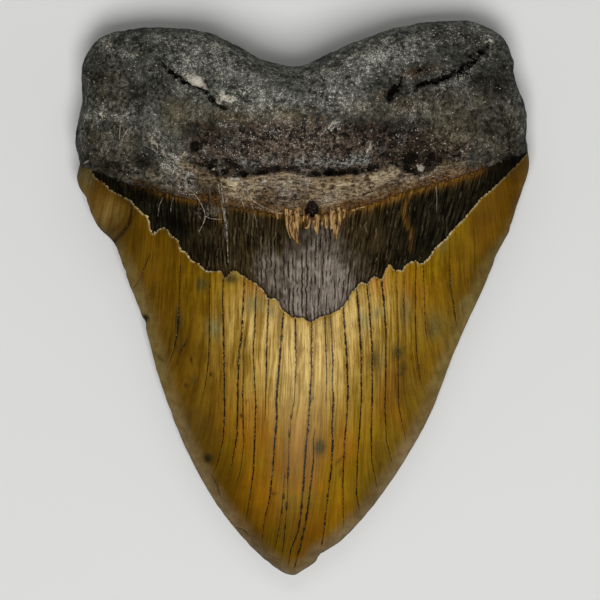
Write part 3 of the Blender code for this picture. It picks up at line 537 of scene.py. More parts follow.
# How thick the pale crumbs lie on the enamel's upper edge, over the width
BORDER_CREAM = [
    (-60, 0.1), (-54, 0.5), (-46, 0.7), (-40, 1), (-22, 0.95), (-20, 0.15), (-14, 0.3), (-11, 0.85),
    (-7, 0.9), (-4, 0.5), (8, 0.35), (12, 0.7), (20, 0.6), (23, 0.4), (27, 0.9), (38, 1), (41, 0.7),
    (50, 0.8), (56, 0.4), (60, 0.1),
]

# Strands: the points along each, and its half width at both ends
SPLINTERS = [  # brown slivers that hang from the root
    ([(-4.0, 23.4), (-4.0, 20.8), (-3.7, 18.2), (-3.0, 15.8)], 0.62, 0.16),
    ([(-3.0, 23.2), (-3.1, 20.2), (-2.9, 18.2), (-2.4, 16.2)], 0.66, 0.30),
    ([(-1.2, 23.6), (-1.3, 19.7), (-1.3, 16.6), (-0.6, 13.8)], 0.95, 0.22),
    ([(-2.1, 20.0), (-2.3, 17.0), (-1.5, 15.2), (-0.9, 14.4)], 0.55, 0.26),
    ([(0.3, 23.0), (0.5, 21.6), (0.3, 20.2)], 0.40, 0.16),
    ([(1.5, 22.0), (1.8, 19.9), (1.4, 18.6), (0.5, 18.6)], 0.55, 0.26),
    ([(3.9, 22.0), (3.9, 18.9), (4.1, 16.8)], 0.80, 0.24),
    ([(3.1, 20.4), (3.4, 18.4), (3.9, 17.0)], 0.42, 0.20),
    ([(6.2, 22.0), (6.3, 19.9), (6.2, 18.4)], 0.66, 0.50),
    ([(5.2, 20.0), (5.2, 19.2)], 0.30, 0.16),
    ([(7.9, 23.2), (7.9, 20.4), (7.7, 18.2)], 1.05, 0.72),
    ([(9.4, 23.8), (9.7, 20.4), (9.2, 17.8), (8.7, 15.7)], 0.60, 0.30),
    ([(8.4, 19.4), (8.4, 17.6), (8.3, 15.9)], 0.52, 0.34),
    ([(10.9, 23.4), (10.8, 21.8), (10.7, 21.0)], 0.62, 0.30),
    ([(13.0, 23.0), (15.2, 23.8), (16.4, 24.0)], 0.34, 0.20),
    ([(-8.6, 22.9), (-6.8, 22.5), (-5.2, 22.2)], 0.42, 0.30),
    ([(-6.3, 22.8), (-6.4, 21.6), (-6.2, 20.8)], 0.40, 0.16),
]
THREADS = [  # dried threads that cling to the root and band
    ([(-30.0, 29.6), (-27.4, 26.8), (-25.9, 24.4), (-25.1, 22.1), (-25.3, 20.2), (-26.6, 17.6)], 0.18, 0.10),
    ([(-25.0, 21.5), (-23.3, 20.9), (-20.6, 20.7)], 0.13, 0.09),
    ([(-20.9, 30.9), (-20.3, 24.7), (-19.6, 19.5), (-19.3, 14.2), (-19.1, 9.4)], 0.20, 0.10),
    ([(-21.6, 30.2), (-20.9, 25.4), (-20.0, 20.2), (-19.9, 15.4)], 0.13, 0.07),
    ([(-38.6, 41.4), (-37.4, 39.6), (-37.2, 38.0)], 0.26, 0.12),
    ([(-36.0, 39.0), (-34.8, 36.4), (-33.4, 35.4), (-32.6, 33.2)], 0.17, 0.10),
    ([(-33.6, 36.6), (-31.2, 33.6), (-30.8, 31.8), (-28.6, 28.4)], 0.15, 0.10),
    ([(-14.4, 28.8), (-13.0, 25.9), (-10.4, 24.1), (-7.0, 22.7)], 0.20, 0.10),
    ([(-16.6, 27.2), (-15.4, 25.2), (-15.0, 23.6)], 0.18, 0.10),
    ([(-13.0, 24.6), (-12.2, 21.8), (-11.6, 18.6)], 0.10, 0.06),
    ([(15.9, 36.0), (17.0, 38.0), (18.1, 39.6)], 0.16, 0.10),
    ([(-44.9, 44.2), (-46.0, 42.4), (-46.8, 40.2)], 0.12, 0.08),
    ([(-47.0, 45.0), (-47.2, 41.4)], 0.12, 0.08),
    ([(34.6, 29.6), (34.9, 26.4), (34.8, 22.6)], 0.10, 0.06),
    ([(0.3, 37.4), (0.4, 35.0), (1.6, 32.4)], 0.14, 0.08),
    ([(-36.0, 26.4), (-36.9, 24.4), (-37.4, 21.6)], 0.09, 0.06),
    ([(-33.2, 26.4), (-33.8, 24.6), (-34.0, 22.8)], 0.08, 0.06),
]


def step(low, high, value):
    """0 below low, 1 above high, and a smooth rise between."""
    share = np.clip((value - low) / (high - low), 0, 1)
    return share * share * (3 - 2 * share)


def through(points, at):
    """A smooth curve through (place, value) points, read at each place of an array."""
    places, values = np.array(points, float).T
    slopes = np.gradient(values, places)
    i = np.clip(np.searchsorted(places, at) - 1, 0, len(places) - 2)
    gap = places[i + 1] - places[i]
    t = np.clip((at - places[i]) / gap, 0, 1)
    rise = (1 + 2 * t) * (1 - t) ** 2 * values[i] + t * t * (3 - 2 * t) * values[i + 1]
    return rise + gap * t * (1 - t) * ((1 - t) * slopes[i] - t * slopes[i + 1])


def between(ends, ramp, x):
    """1 between two ends, falling to 0 over a ramp inside each of them."""
    return step(ends[0], ends[0] + ramp, x) * step(-ends[1], ramp - ends[1], -x)


def gap_to(path, x, y):
    """Distance from each point to a line of straight runs, negative on its right-hand side."""
    nearest = np.full(x.shape, np.inf)
    side = np.ones(x.shape)
    for (ax, ay), (bx, by) in zip(path, path[1:]):
        along = ((x - ax) * (bx - ax) + (y - ay) * (by - ay)) / ((bx - ax) ** 2 + (by - ay) ** 2)
        along = np.clip(along, 0, 1)
        away = np.hypot(x - ax - along * (bx - ax), y - ay - along * (by - ay))
        cross = (bx - ax) * (y - ay) - (by - ay) * (x - ax)
        closer = away < nearest
        nearest = np.where(closer, away, nearest)
        side = np.where(closer, np.where(cross < 0, -1.0, 1.0), side)
    return nearest * side


def distance_to(path, x, y):
    """Distance from each point to a line of straight runs."""
    return np.abs(gap_to(path, x, y))


def lumps(x, y, z, size):
    """Soft irregular swellings, between about -1 and 1."""
    return np.array([noise.noise(Vector(p) / size) for p in zip(x, y, z)])


def pores(x, y, z, size, share):
    """Round pits at scattered places: 1 in the middle of each and 0 outside them."""
    found = np.zeros(len(x))
    for i, p in enumerate(zip(x, y, z)):
        distances, centres = noise.voronoi(Vector(p) / size)
        if noise.cell(centres[0] * PORE_DRAW) > 1 - share:
            found[i] = max(0.0, 1 - distances[0] / PORE_RADIUS)
    return found


def ellipse(x, y, centre_x, centre_y, radius_x, radius_y, turn):
    """How many radii each point lies from the centre of a turned ellipse."""
    c, s = math.cos(math.radians(turn)), math.sin(math.radians(turn))
    across = (x - centre_x) * c + (y - centre_y) * s
    along = (y - centre_y) * c - (x - centre_x) * s
    return np.hypot(across / radius_x, along / radius_y)


def patches(places, x, y):
    """Soft patches of tone. Where some overlap, the strongest counts."""
    tone = np.zeros(x.shape)
    for *where, strength in places:
        tone = np.maximum(tone, strength * np.exp(-ellipse(x, y, *where) ** 2))
    return tone


def streaks(paths, x, y):
    """Soft stains along lines. Where some overlap, the strongest counts."""
    tone = np.zeros(x.shape)
    for path, width, strength in paths:
        tone = np.maximum(tone, strength * np.exp(-(distance_to(path, x, y) / width) ** 2))
    return tone


def inside_any(places, x, y):
    """How far inside the nearest of several ellipses each point lies, negative outside them."""
    inside = np.full(x.shape, -9.0)
    for place in places:
        inside = np.maximum(inside, (1 - ellipse(x, y, *place)) * min(place[2:4]))
    return inside


def periphery(x, y):
    """How much deeper colour and painted shade the enamel gets: more towards the sides, and most on the left.
    """
    share = share_across(x, y)
    low = PALER_LOW * step(*PALER_FROM, y) * np.exp(-((x / PALER_WIDTH) ** 2))
    return np.maximum(step(*DEEP_SHADE_LEFT, -share), DEEP_SHADE_RIGHT_MOST * step(*DEEP_SHADE_RIGHT, share)) - low


def smooth_line(points, steps, closed=False):
    """A smooth line through points, with several places between one point and the next."""
    corners = np.array(points, float)
    if closed:
        before, after, beyond = (np.roll(corners, n, axis=0) for n in (1, -1, -2))
    else:
        ends = np.vstack((2 * corners[0] - corners[1], corners, 2 * corners[-1] - corners[-2]))
        before, corners, after, beyond = ends[:-3], ends[1:-2], ends[2:-1], ends[3:]
    t = np.linspace(0, 1, steps, endpoint=False)[:, None, None]
    line = 0.5 * (
        2 * corners
        + (after - before) * t
        + (2 * before - 5 * corners + 4 * after - beyond) * t**2
        + (3 * corners - before - 3 * after + beyond) * t**3
    )
    line = line.transpose(1, 0, 2).reshape(-1, 2)
    return line if closed else np.vstack((line, points[-1]))


def smooth_rim():
    """The outline as a closed smooth line, fitted to the tooth's width and height."""
    rim = smooth_line(OUTLINE, RIM_STEPS, closed=True)
    low, high = rim.min(axis=0), rim.max(axis=0)
    return (rim - (low + high) / 2) * np.array((TOOTH_WIDTH, TOOTH_HEIGHT)) / (high - low)


def worn_rim(rim):
    """The rim with its chips, and with unevenly worn cutting edges."""
    inward = np.array(RAY_CENTRE) - rim
    inward /= np.linalg.norm(inward, axis=1)[:, None]
    x, y = rim.T
    crown = 1 - step(*EDGE_WEAR_ENDS, y)
    depth = EDGE_WEAR * crown * (1 + lumps(x, y, 0 * x, EDGE_WEAR_SIZE))
    for chip_x, chip_y, width, chip in BITES:
        depth += chip * np.exp(-((np.hypot(x - chip_x, y - chip_y) / width) ** 2))
    return rim + inward * depth[:, None]


RIM = smooth_rim()
WORN_RIM = worn_rim(RIM)


def rim_sides():
    """Heights from tip to root, and the left and right rim at each, as drawn and evened out."""
    gap = 0.25
    heights = np.arange(-TOOTH_HEIGHT / 2, TOOTH_HEIGHT / 2 + gap, gap)
    around = np.roll(RIM, -int(np.argmin(RIM[:, 1])), axis=0)
    right = around[: int(np.argmax(around[:, 1]))]
    left = around[len(right):][::-1]
    left = left[: int(np.argmax(left[:, 1]))]
    drawn = [np.interp(heights, np.maximum.accumulate(s[:, 1]), s[:, 0]) for s in (left, right)]
    window = np.hanning(int(2 * EDGE_WAVE / gap) | 1)
    margin = len(window) // 2
    even = [np.convolve(np.pad(s, margin, "edge"), window / window.sum(), "valid") for s in drawn]
    return heights, drawn, even


HEIGHTS, DRAWN_SIDES, EVEN_SIDES = rim_sides()


def ray_length(angle):
    """Distance from the ray centre to the worn rim in each direction."""
    dx, dy = (WORN_RIM - np.array(RAY_CENTRE)).T
    turns = np.arctan2(dy, dx)
    order = np.argsort(turns)
    return np.interp(angle, turns[order], np.hypot(dx, dy)[order], period=2 * math.pi)


def middle_and_half(sides, y):
    """Middle and half width of the tooth at each height, between its left and right side."""
    left, right = (np.interp(y, HEIGHTS, side) for side in sides)
    return (left + right) / 2, np.maximum((right - left) / 2, 0.05)


def share_across(x, y):
    """Place across the tooth at its height: -1 on the left rim and 1 on the right one."""
    middle, half = middle_and_half(DRAWN_SIDES, y)
    drawn = np.clip((x - middle) / half, -1, 1)
    middle, half = middle_and_half(EVEN_SIDES, y)
    even = np.clip((x - middle) / half, -1, 1)
    wavy = np.maximum(step(*WAVY_SHARE, np.abs(drawn)), 1 - step(*WAVY_TIP, y))
    return even + (drawn - even) * wavy


def rolled(angle, share):
    """Distance from the ray centre, and how much of the face's height is left, where the root's
    rim is rounded over and the crown's runs out to an edge."""
    length = ray_length(angle)
    rim_y = RAY_CENTRE[1] + length * np.sin(angle)
    roll = ROLL_RADIUS * step(*ROLL_FROM, rim_y) + 1e-6
    flat = length - roll
    along = share * (flat + roll * math.pi / 2)
    turn = np.clip((along - flat) / roll, 0, math.pi / 2)
    return np.minimum(along, flat) + roll * np.sin(turn), np.cos(turn)


def crown_height(x, y):
    """The crown's tongue side: an arched cross-section between two bevelled edges."""
    rim = through(RIM_HEIGHT, y)
    share = np.abs(share_across(x, y))
    arch = 1 - share ** through(CROWN_BULGE, y)
    from_edge = middle_and_half(DRAWN_SIDES, y)[1] * (1 - share)
    bevel = BEVEL_RISE * (1 - np.exp(-from_edge / BEVEL_WIDTH))
    return rim + (through(CROWN_RIDGE, y) - rim) * arch + bevel


def root_height(x, y):
    """The root's tongue side before its rim is rounded: highest in the middle."""
    above = y - ROOT_PEAK
    fall = np.where(above > 0, ROOT_FALL_CREST, ROOT_FALL_CROWN) * above**2
    return ROOT_THICKNESS - ROOT_FALL_SIDEWAYS * (x / ROOT_HALF_WIDTH) ** 2 - fall


def above_line(points, x, y):
    """Distance to a line that runs across the tooth, positive above it and negative below."""
    across, heights = np.array(points, float).T
    return distance_to(points, x, y) * np.where(y > np.interp(x, across, heights), 1.0, -1.0)


def fissure_depth(x, y):
    """How far the root's fissures and pits are cut in, with ragged sides."""
    flat = 0 * x
    ragged = sum(much * lumps(x, y, flat + seed, size) for much, size, seed in RAGGED_SIDES)
    crooked_x = x + CROOKED * lumps(x, y, flat + CROOKED_SEEDS[0], CROOKED_SIZE)
    crooked_y = y + CROOKED * lumps(x, y, flat + CROOKED_SEEDS[1], CROOKED_SIZE)
    swell = SWELL[0] + SWELL[1] * lumps(x, y, flat + SWELL_SEED, SWELL_SIZE)
    cut = np.zeros(x.shape)
    for path, width, depth in FISSURES:
        to_end = np.minimum(*(np.hypot(x - end_x, y - end_y) for end_x, end_y in (path[0], path[-1])))
        taper = step(-0.5, TAPER[1], to_end) * (1 - TAPER[0]) + TAPER[0]
        away = distance_to(path, crooked_x, crooked_y) / (width * np.maximum(swell, 0.3) * taper)
        cut = np.maximum(cut, depth * taper * (1 - step(0.1, 1.0, away + ragged)))
    for pit_x, pit_y, radius, depth in PITS:
        away = np.hypot(x - pit_x, (y - pit_y) * PIT_SQUASH) / radius
        cut = np.maximum(cut, depth * (1 - step(0.2, 1.0, away + ragged)))
    return cut


def trough_share(x, y, ledge):
    """How far the trough above the ledge sinks at each place, 1 at its full depth."""
    top = through(TROUGH_TOP, x)
    down = np.clip((top - y) / (top - ledge), 0, 1.2) ** TROUGH_POWER
    return between(TROUGH_ENDS, TROUGH_RAMP, x) * down * step(-0.2, STEP_WIDTH, y - ledge)


def worn_places(x, y):
    """What the trough, ledge, fissures and foramen take from the root's height or add to it."""
    ledge = through(LEDGE_LINE, x) + LEDGE_RAGGED * lumps(x, 0 * x, 0 * x, LEDGE_RAGGED_SIZE)
    root = through(ROOT_LINE, x)
    strip = step(0.0, STEP_WIDTH, y - root) * step(-LEDGE_EDGE, 0.0, ledge - y + 0.6)
    change = LEDGE_STEP * strip * between(LEDGE_ENDS, LEDGE_RAMP, x)
    change -= TROUGH_DEPTH * trough_share(x, y, ledge)
    gap = np.exp(-(((y - ledge - LEDGE_GAP_WIDTH) / LEDGE_GAP_WIDTH) ** 2))
    change -= LEDGE_GAP_DEPTH * gap * between(LEDGE_GAP_ENDS, LEDGE_RAMP, x)
    hole = np.hypot((x - FORAMEN[0]) / FORAMEN_RADII[0], (y - FORAMEN[1]) / FORAMEN_RADII[1])
    return change - fissure_depth(x, y) - FORAMEN_DEPTH * (1 - step(0.4, 1.0, hole))


def shoulder_fold(x, y):
    """The swollen fold on the left shoulder, and the groove that closes it off."""
    away = np.hypot(x - FOLD_CENTRE[0], y - FOLD_CENTRE[1]) / FOLD_RADIUS
    groove = distance_to(FOLD_GROOVE, x, y) / FOLD_GROOVE_WIDTH
    rise = FOLD_RISE * (1 - step(0.0, 1.0, away)) - FOLD_GROOVE_DEPTH * (1 - step(0.1, 1.0, groove))
    return rise * (1 - share_across(x, y) ** 8)


def tongue_side(x, y, left):
    """Height of the upper face. left is how much of it the rounded rim leaves."""
    rim = through(RIM_HEIGHT, y)
    run = ROOT_OVERHANG[0] + (ROOT_OVERHANG[1] - ROOT_OVERHANG[0]) * step(*OVERHANG_FROM, np.abs(x))
    root_share = step(-1.0, 1.0, (y - through(ROOT_LINE, x)) / run + OVERHANG_SHIFT)
    crown = crown_height(x, y) + shoulder_fold(x, y)
    enamel = step(-0.1, STEP_WIDTH, -above_line(ENAMEL_TRACE, x, y))
    crown += ENAMEL_STEP * enamel * (1 - share_across(x, y) ** 6)
    root = root_height(x, y) + ROOT_LUMP * lumps(x, y, 0 * x, LUMP_SIZE)
    body = crown + (root - crown) * root_share + worn_places(x, y)
    return rim + (body - rim) * left


def lip_side(x, y, left):
    """Height of the lower face, which rests on the root's two lobes and behind the tip."""
    rim = through(RIM_HEIGHT, y)
    middle = through(LIP_FACE, y)
    crown = middle + (rim - middle) * np.abs(share_across(x, y)) ** LIP_BULGE
    root = middle + LIP_LUMP * lumps(x, y, 0 * x + LIP_LUMP_AT, LUMP_SIZE)
    for px, py in LOBE_PADS:
        root -= PAD_DEPTH * (1 - step(0.0, 1.0, np.hypot(x - px, y - py) / PAD_RADIUS))
    body = crown + (root - crown) * step(*ROLL_FROM, y)
    body += LIP_STEP * step(0.0, STEP_WIDTH, y - through(LIP_LINE, x))
    return np.maximum(rim - (rim - body) * left, 0)


def crack_courses(y):
    """Where each crack crosses the height of every point, and how strong it is there."""
    lines, forces = [], []
    for crack in CRACKS:
        across, height, force = np.array(sorted(crack, key=lambda p: p[1]), float).T
        lines.append(np.interp(y, height, across))
        ends = (height[0] - CRACK_FADE[0],), height, (height[-1] + CRACK_FADE[1],)
        force = np.concatenate(((0,), force, (force[-1],)))
        forces.append(np.interp(y, np.concatenate(ends), force))
    for i in range(1, len(lines)):
        lines[i] = np.maximum(lines[i], lines[i - 1] + CRACK_LEAST_GAP)
    return np.array(lines), np.array(forces)


def crack_lines(x, y, mirrored=False):
    """Where each point lies among the cracks: a number that is whole on each crack, the spacing
    there in millimetres, and how strong the nearest crack is."""
    x = LIP_CRACK_MIRROR - x if mirrored else x
    lines, forces = crack_courses(y)
    last = len(lines) - 1
    passed = (lines <= x).sum(axis=0)
    inner = np.clip(passed, 1, last)
    each = np.arange(len(x))
    low, high = lines[inner - 1, each], lines[inner, each]
    outer_pitch = CRACK_PITCH * np.maximum(1 + CRACK_FAN * (CRACK_FAN_FROM - y), CRACK_LEAST_FAN)
    pitch = np.where((passed == 0) | (passed > last), outer_pitch, high - low)
    place = inner - 1 + (x - low) / (high - low)
    place = np.where(passed == 0, (x - lines[0]) / outer_pitch, place)
    place = np.where(passed > last, last + (x - lines[-1]) / outer_pitch, place)
    nearest = np.rint(place).astype(int)
    force = forces[np.clip(nearest, 0, last), each]
    force = np.where((nearest < 0) | (nearest > last), 0, force)
    return place, pitch, force * (LIP_CRACK_SHARE if mirrored else 1.0)


def distance_to_rim(x, y):
    """Distance from each point to the worn rim, seen from above."""
    nearest = np.full(x.shape, np.inf)
    for rim_x, rim_y in WORN_RIM:
        nearest = np.minimum(nearest, (x - rim_x) ** 2 + (y - rim_y) ** 2)
    return np.sqrt(nearest)


def hairline_gap(x, y):
    """Signed distance to the nearest hairline, and 1 close to one."""
    gap = np.full(x.shape, NO_HAIRLINE)
    for path in HAIRLINES:
        new = gap_to(path, x, y)
        gap = np.where(np.abs(new) < np.abs(gap), new, gap)
    return gap, 1 - step(*HAIRLINE_REACH, np.abs(gap))


def tongue_marks(x, y):
    """What the finish reads on the tongue side, one array for each mark."""
    ledge = through(LEDGE_LINE, x)
    root_gap = y - through(ROOT_LINE, x)
    enamel_gap = -above_line(ENAMEL_TRACE, x, y)
    rim_gap = distance_to_rim(x, y)
    place, pitch, force = crack_lines(x, y)
    hair, hair_force = hairline_gap(x, y)
    strip = step(-0.3, 0.6, root_gap) * step(-0.8, 0.3, ledge - y)
    trough = step(-1.0, 1.2, y - ledge) * step(-2.8, 3.0, through(TROUGH_TOP, x) - 0.6 - y)
    lean = BAND_LEAN * np.clip((x - BAND_LEAN_FROM) / BAND_LEAN_WIDTH, 0, 1)
    return {name: patches(places, x, y) for name, places in STAINS.items()} | {
        "root_gap": root_gap,
        "enamel_gap": enamel_gap,
        "rim_gap": rim_gap,
        "crack_place": place,
        "crack_pitch": pitch,
        "crack_force": force * step(1.0, 3.0, rim_gap) * step(-0.2, 0.5, enamel_gap),
        "hair_gap": hair,
        "hair_force": hair_force,
        "band_across": x - (y - BAND_LEAN_LEVEL) * lean,
        "border": np.interp(x, *np.array(BORDER_CREAM, float).T),
        "ledge": strip * between(LEDGE_ENDS, LEDGE_RAMP, x),
        "trough": trough * between(TROUGH_STAIN_ENDS, TROUGH_STAIN_RAMP, x),
        "crevice": np.minimum(fissure_depth(x, y), 1.0),
        "speck_gap": inside_any(SPECKS, x, y),
        "deep_and_shaded": periphery(x, y),
        "rust": streaks(RUST, x, y),
        "crease": streaks(CREASE, x, y),
    }


def lip_marks(x, y):
    """The same marks on the hidden lip side, which has no band and fewer stains."""
    line = through(LIP_LINE, x)
    place, pitch, force = crack_lines(x, y, mirrored=True)
    root_gap, rim_gap = y - line - LIP_SEAM, distance_to_rim(x, y)
    none = np.zeros(x.shape)
    stains = {
        name: patches(STAINS[name], right - x, y - up) for name, (right, up) in LIP_STAINS.items()
    }
    specks_right, specks_up = LIP_SPECKS_MOVED
    return dict.fromkeys(LIP_MISSING, none) | stains | {
        "root_gap": root_gap,
        "enamel_gap": line - y + LIP_JAGGED * lumps(x, 0 * x, 0 * x + 9, LIP_JAGGED_SIZE),
        "rim_gap": rim_gap,
        "crack_place": place,
        "crack_pitch": pitch,
        "crack_force": force * step(1.5, 4.0, rim_gap) * step(-0.2, 0.5, line - y),
        "hair_gap": none + NO_HAIRLINE,
        "band_across": x,
        "border": none + LIP_BORDER,
        "painted_shade": LIP_PAINTED_SHADE * stains["painted_shade"],
        "speck_gap": inside_any(SPECKS, specks_right - x, y - specks_up),
        "deep_and_shaded": LIP_DEEP_SHADE[0] + LIP_DEEP_SHADE[1] * periphery(x, y),
        "band_grey_and_sheen": none + LIP_GREY,
        "rust": LIP_RUST * np.exp(-((root_gap / LIP_RUST_WIDTH) ** 2)),
    }


def grid_places(cells):
    """A square grid drawn out to the rim: places, and how much height the rounded rim leaves."""
    steps = np.linspace(-1, 1, cells + 1)
    b, a = (part.ravel() for part in np.meshgrid(steps, steps, indexing="ij"))
    disc_x, disc_y = a * np.sqrt(1 - b * b / 2), b * np.sqrt(1 - a * a / 2)
    angle, share = np.arctan2(disc_y, disc_x), np.minimum(np.hypot(disc_x, disc_y), 1)
    reach, left = rolled(angle, share)
    on_rim = share > 1 - 1e-9
    return RAY_CENTRE[0] + reach * np.cos(angle), RAY_CENTRE[1] + reach * np.sin(angle), left, on_rim


def rim_order(cells):
    """Numbers of a grid's outermost points, anticlockwise from its first corner."""
    side = np.arange(cells)
    wide = cells + 1
    return np.concatenate((
        side, side * wide + cells, cells * wide + cells - side, (cells - side) * wide
    ))


def grid_quads(cells):
    """Corner numbers of every cell of a grid."""
    steps = np.arange(cells)
    row, col = (part.ravel() for part in np.meshgrid(steps, steps, indexing="ij"))
    first = row * (cells + 1) + col
    return np.stack((first, first + 1, first + cells + 2, first + cells + 1), axis=1)


def root_relief(x, y, z, marks):
    """Lumps, pores, hollows and crumbs of the root, roughest in the trough and on the ledge."""
    rough = sum(depth * lumps(x, y, z, size) for depth, size in ROOT_GRAIN)
    rough -= PORE_DEPTH * pores(x, y, z, PORE_SIZE, PORE_SHARE)
    rough *= 1 + TROUGH_ROUGHER * marks["trough"] + LEDGE_ROUGHER * marks["ledge"]
    rough += LEDGE_LAYERS * marks["ledge"] * lumps(x * 0.35, y * 1.6, z, 1.7)
    rough -= HOLLOW_DEPTH * marks["hollow"]
    return rough + (CRUST_RISE * marks["crust"] + CHIP_RISE * step(-0.2, 0.3, marks["speck_gap"]))


def enamel_relief(x, y, z, marks):
    """The crown, smooth but for soft waves, its cracks and its hairlines."""
    across = marks["crack_place"] * CRACK_PITCH
    wavy = CROWN_WAVES * lumps(x, y * 0.5, z, 9.0) + CROWN_STREAKS * lumps(across, y * 0.08, 0 * y, 1.4)
    distance = np.abs(marks["crack_place"] - np.rint(marks["crack_place"])) * marks["crack_pitch"]
    groove = marks["crack_force"] * np.maximum(0, 1 - distance / CRACK_HALF_WIDTH)
    hair = marks["hair_force"] * np.maximum(0, 1 - np.abs(marks["hair_gap"]) / CRACK_HALF_WIDTH)
    return wavy - CRACK_DEPTH * groove - HAIRLINE_DEPTH * hair


def surface_relief(x, y, z, marks):
    """Fine relief in millimetres along the surface's normal: a grainy root, a grooved band,
    and a crown that is smooth but for its cracks."""
    root = step(-0.4, 0.6, marks["root_gap"])
    enamel = step(-0.1, 0.4, marks["enamel_gap"]) * (1 - root)
    band = 1 - np.maximum(root, enamel)
    across = marks["crack_place"] * CRACK_PITCH
    grooved = BAND_GROOVES * lumps(across, y * 0.10, 0 * y + 5, 0.9) + BAND_LUMPS * lumps(x, y, z, 3.0)
    return root * root_relief(x, y, z, marks) + band * grooved + enamel * enamel_relief(x, y, z, marks)


def tooth_mesh():
    """Both faces with their fine relief, joined at the rim, as one closed mesh with its marks."""
    faces = []
    for cells, height, marks in (
        (TONGUE_CELLS, tongue_side, tongue_marks), (LIP_CELLS, lip_side, lip_marks),
    ):
        x, y, left, on_rim = grid_places(cells)
        z = np.where(on_rim, through(RIM_HEIGHT, y), height(x, y, left))
        faces.append((np.stack((x, y, z), axis=1), marks(x, y)))
    (upper, upper_marks), (lower, lower_marks) = faces
    upper_rim, lower_rim = rim_order(TONGUE_CELLS), rim_order(LIP_CELLS)
    ratio = TONGUE_CELLS // LIP_CELLS
    inner = np.setdiff1d(np.arange(len(lower)), lower_rim)
    number = np.zeros(len(lower), int)
    number[inner] = len(upper) + np.arange(len(inner))
    number[lower_rim] = upper_rim[::ratio]
    corners = np.vstack((upper, lower[inner]))
    marks = {
        name: np.concatenate((values, lower_marks[name][inner]))
        for name, values in upper_marks.items()
    }
    quads = np.vstack((grid_quads(TONGUE_CELLS), number[grid_quads(LIP_CELLS)][:, ::-1]))
    start, middle, end = (np.roll(upper_rim, -n)[::ratio] for n in range(3))
    seam = np.stack((start, end, middle), axis=1)
    mesh = bpy.data.meshes.new("tooth_surface")
    mesh.from_pydata(corners.tolist(), [], quads.tolist() + seam.tolist())
    normals = np.zeros(3 * len(corners), np.float32)
    mesh.vertices.foreach_get("normal", normals)
    marks["relief"] = surface_relief(*corners.T, marks)
    marks["rise"] = corners[:, 1]
    shaped = corners + normals.reshape(-1, 3) * marks["relief"][:, None]
    shaped = np.clip(shaped, (-np.inf, -np.inf, 0), TOOTH_HIGH + RELIEF_MARGIN)
    mesh.vertices.foreach_set("co", (shaped * MM).ravel())
    for name, values in marks.items():
        mark = mesh.attributes.new(name, "FLOAT", "POINT")
        mark.data.foreach_set("value", values.astype(np.float32))
    mesh.shade_smooth()
    mesh.update()
    return mesh


SHEEN = 0.01  # of every finish of the tooth. What shines more has a coat
COAT_ROUGHNESS = 0.22

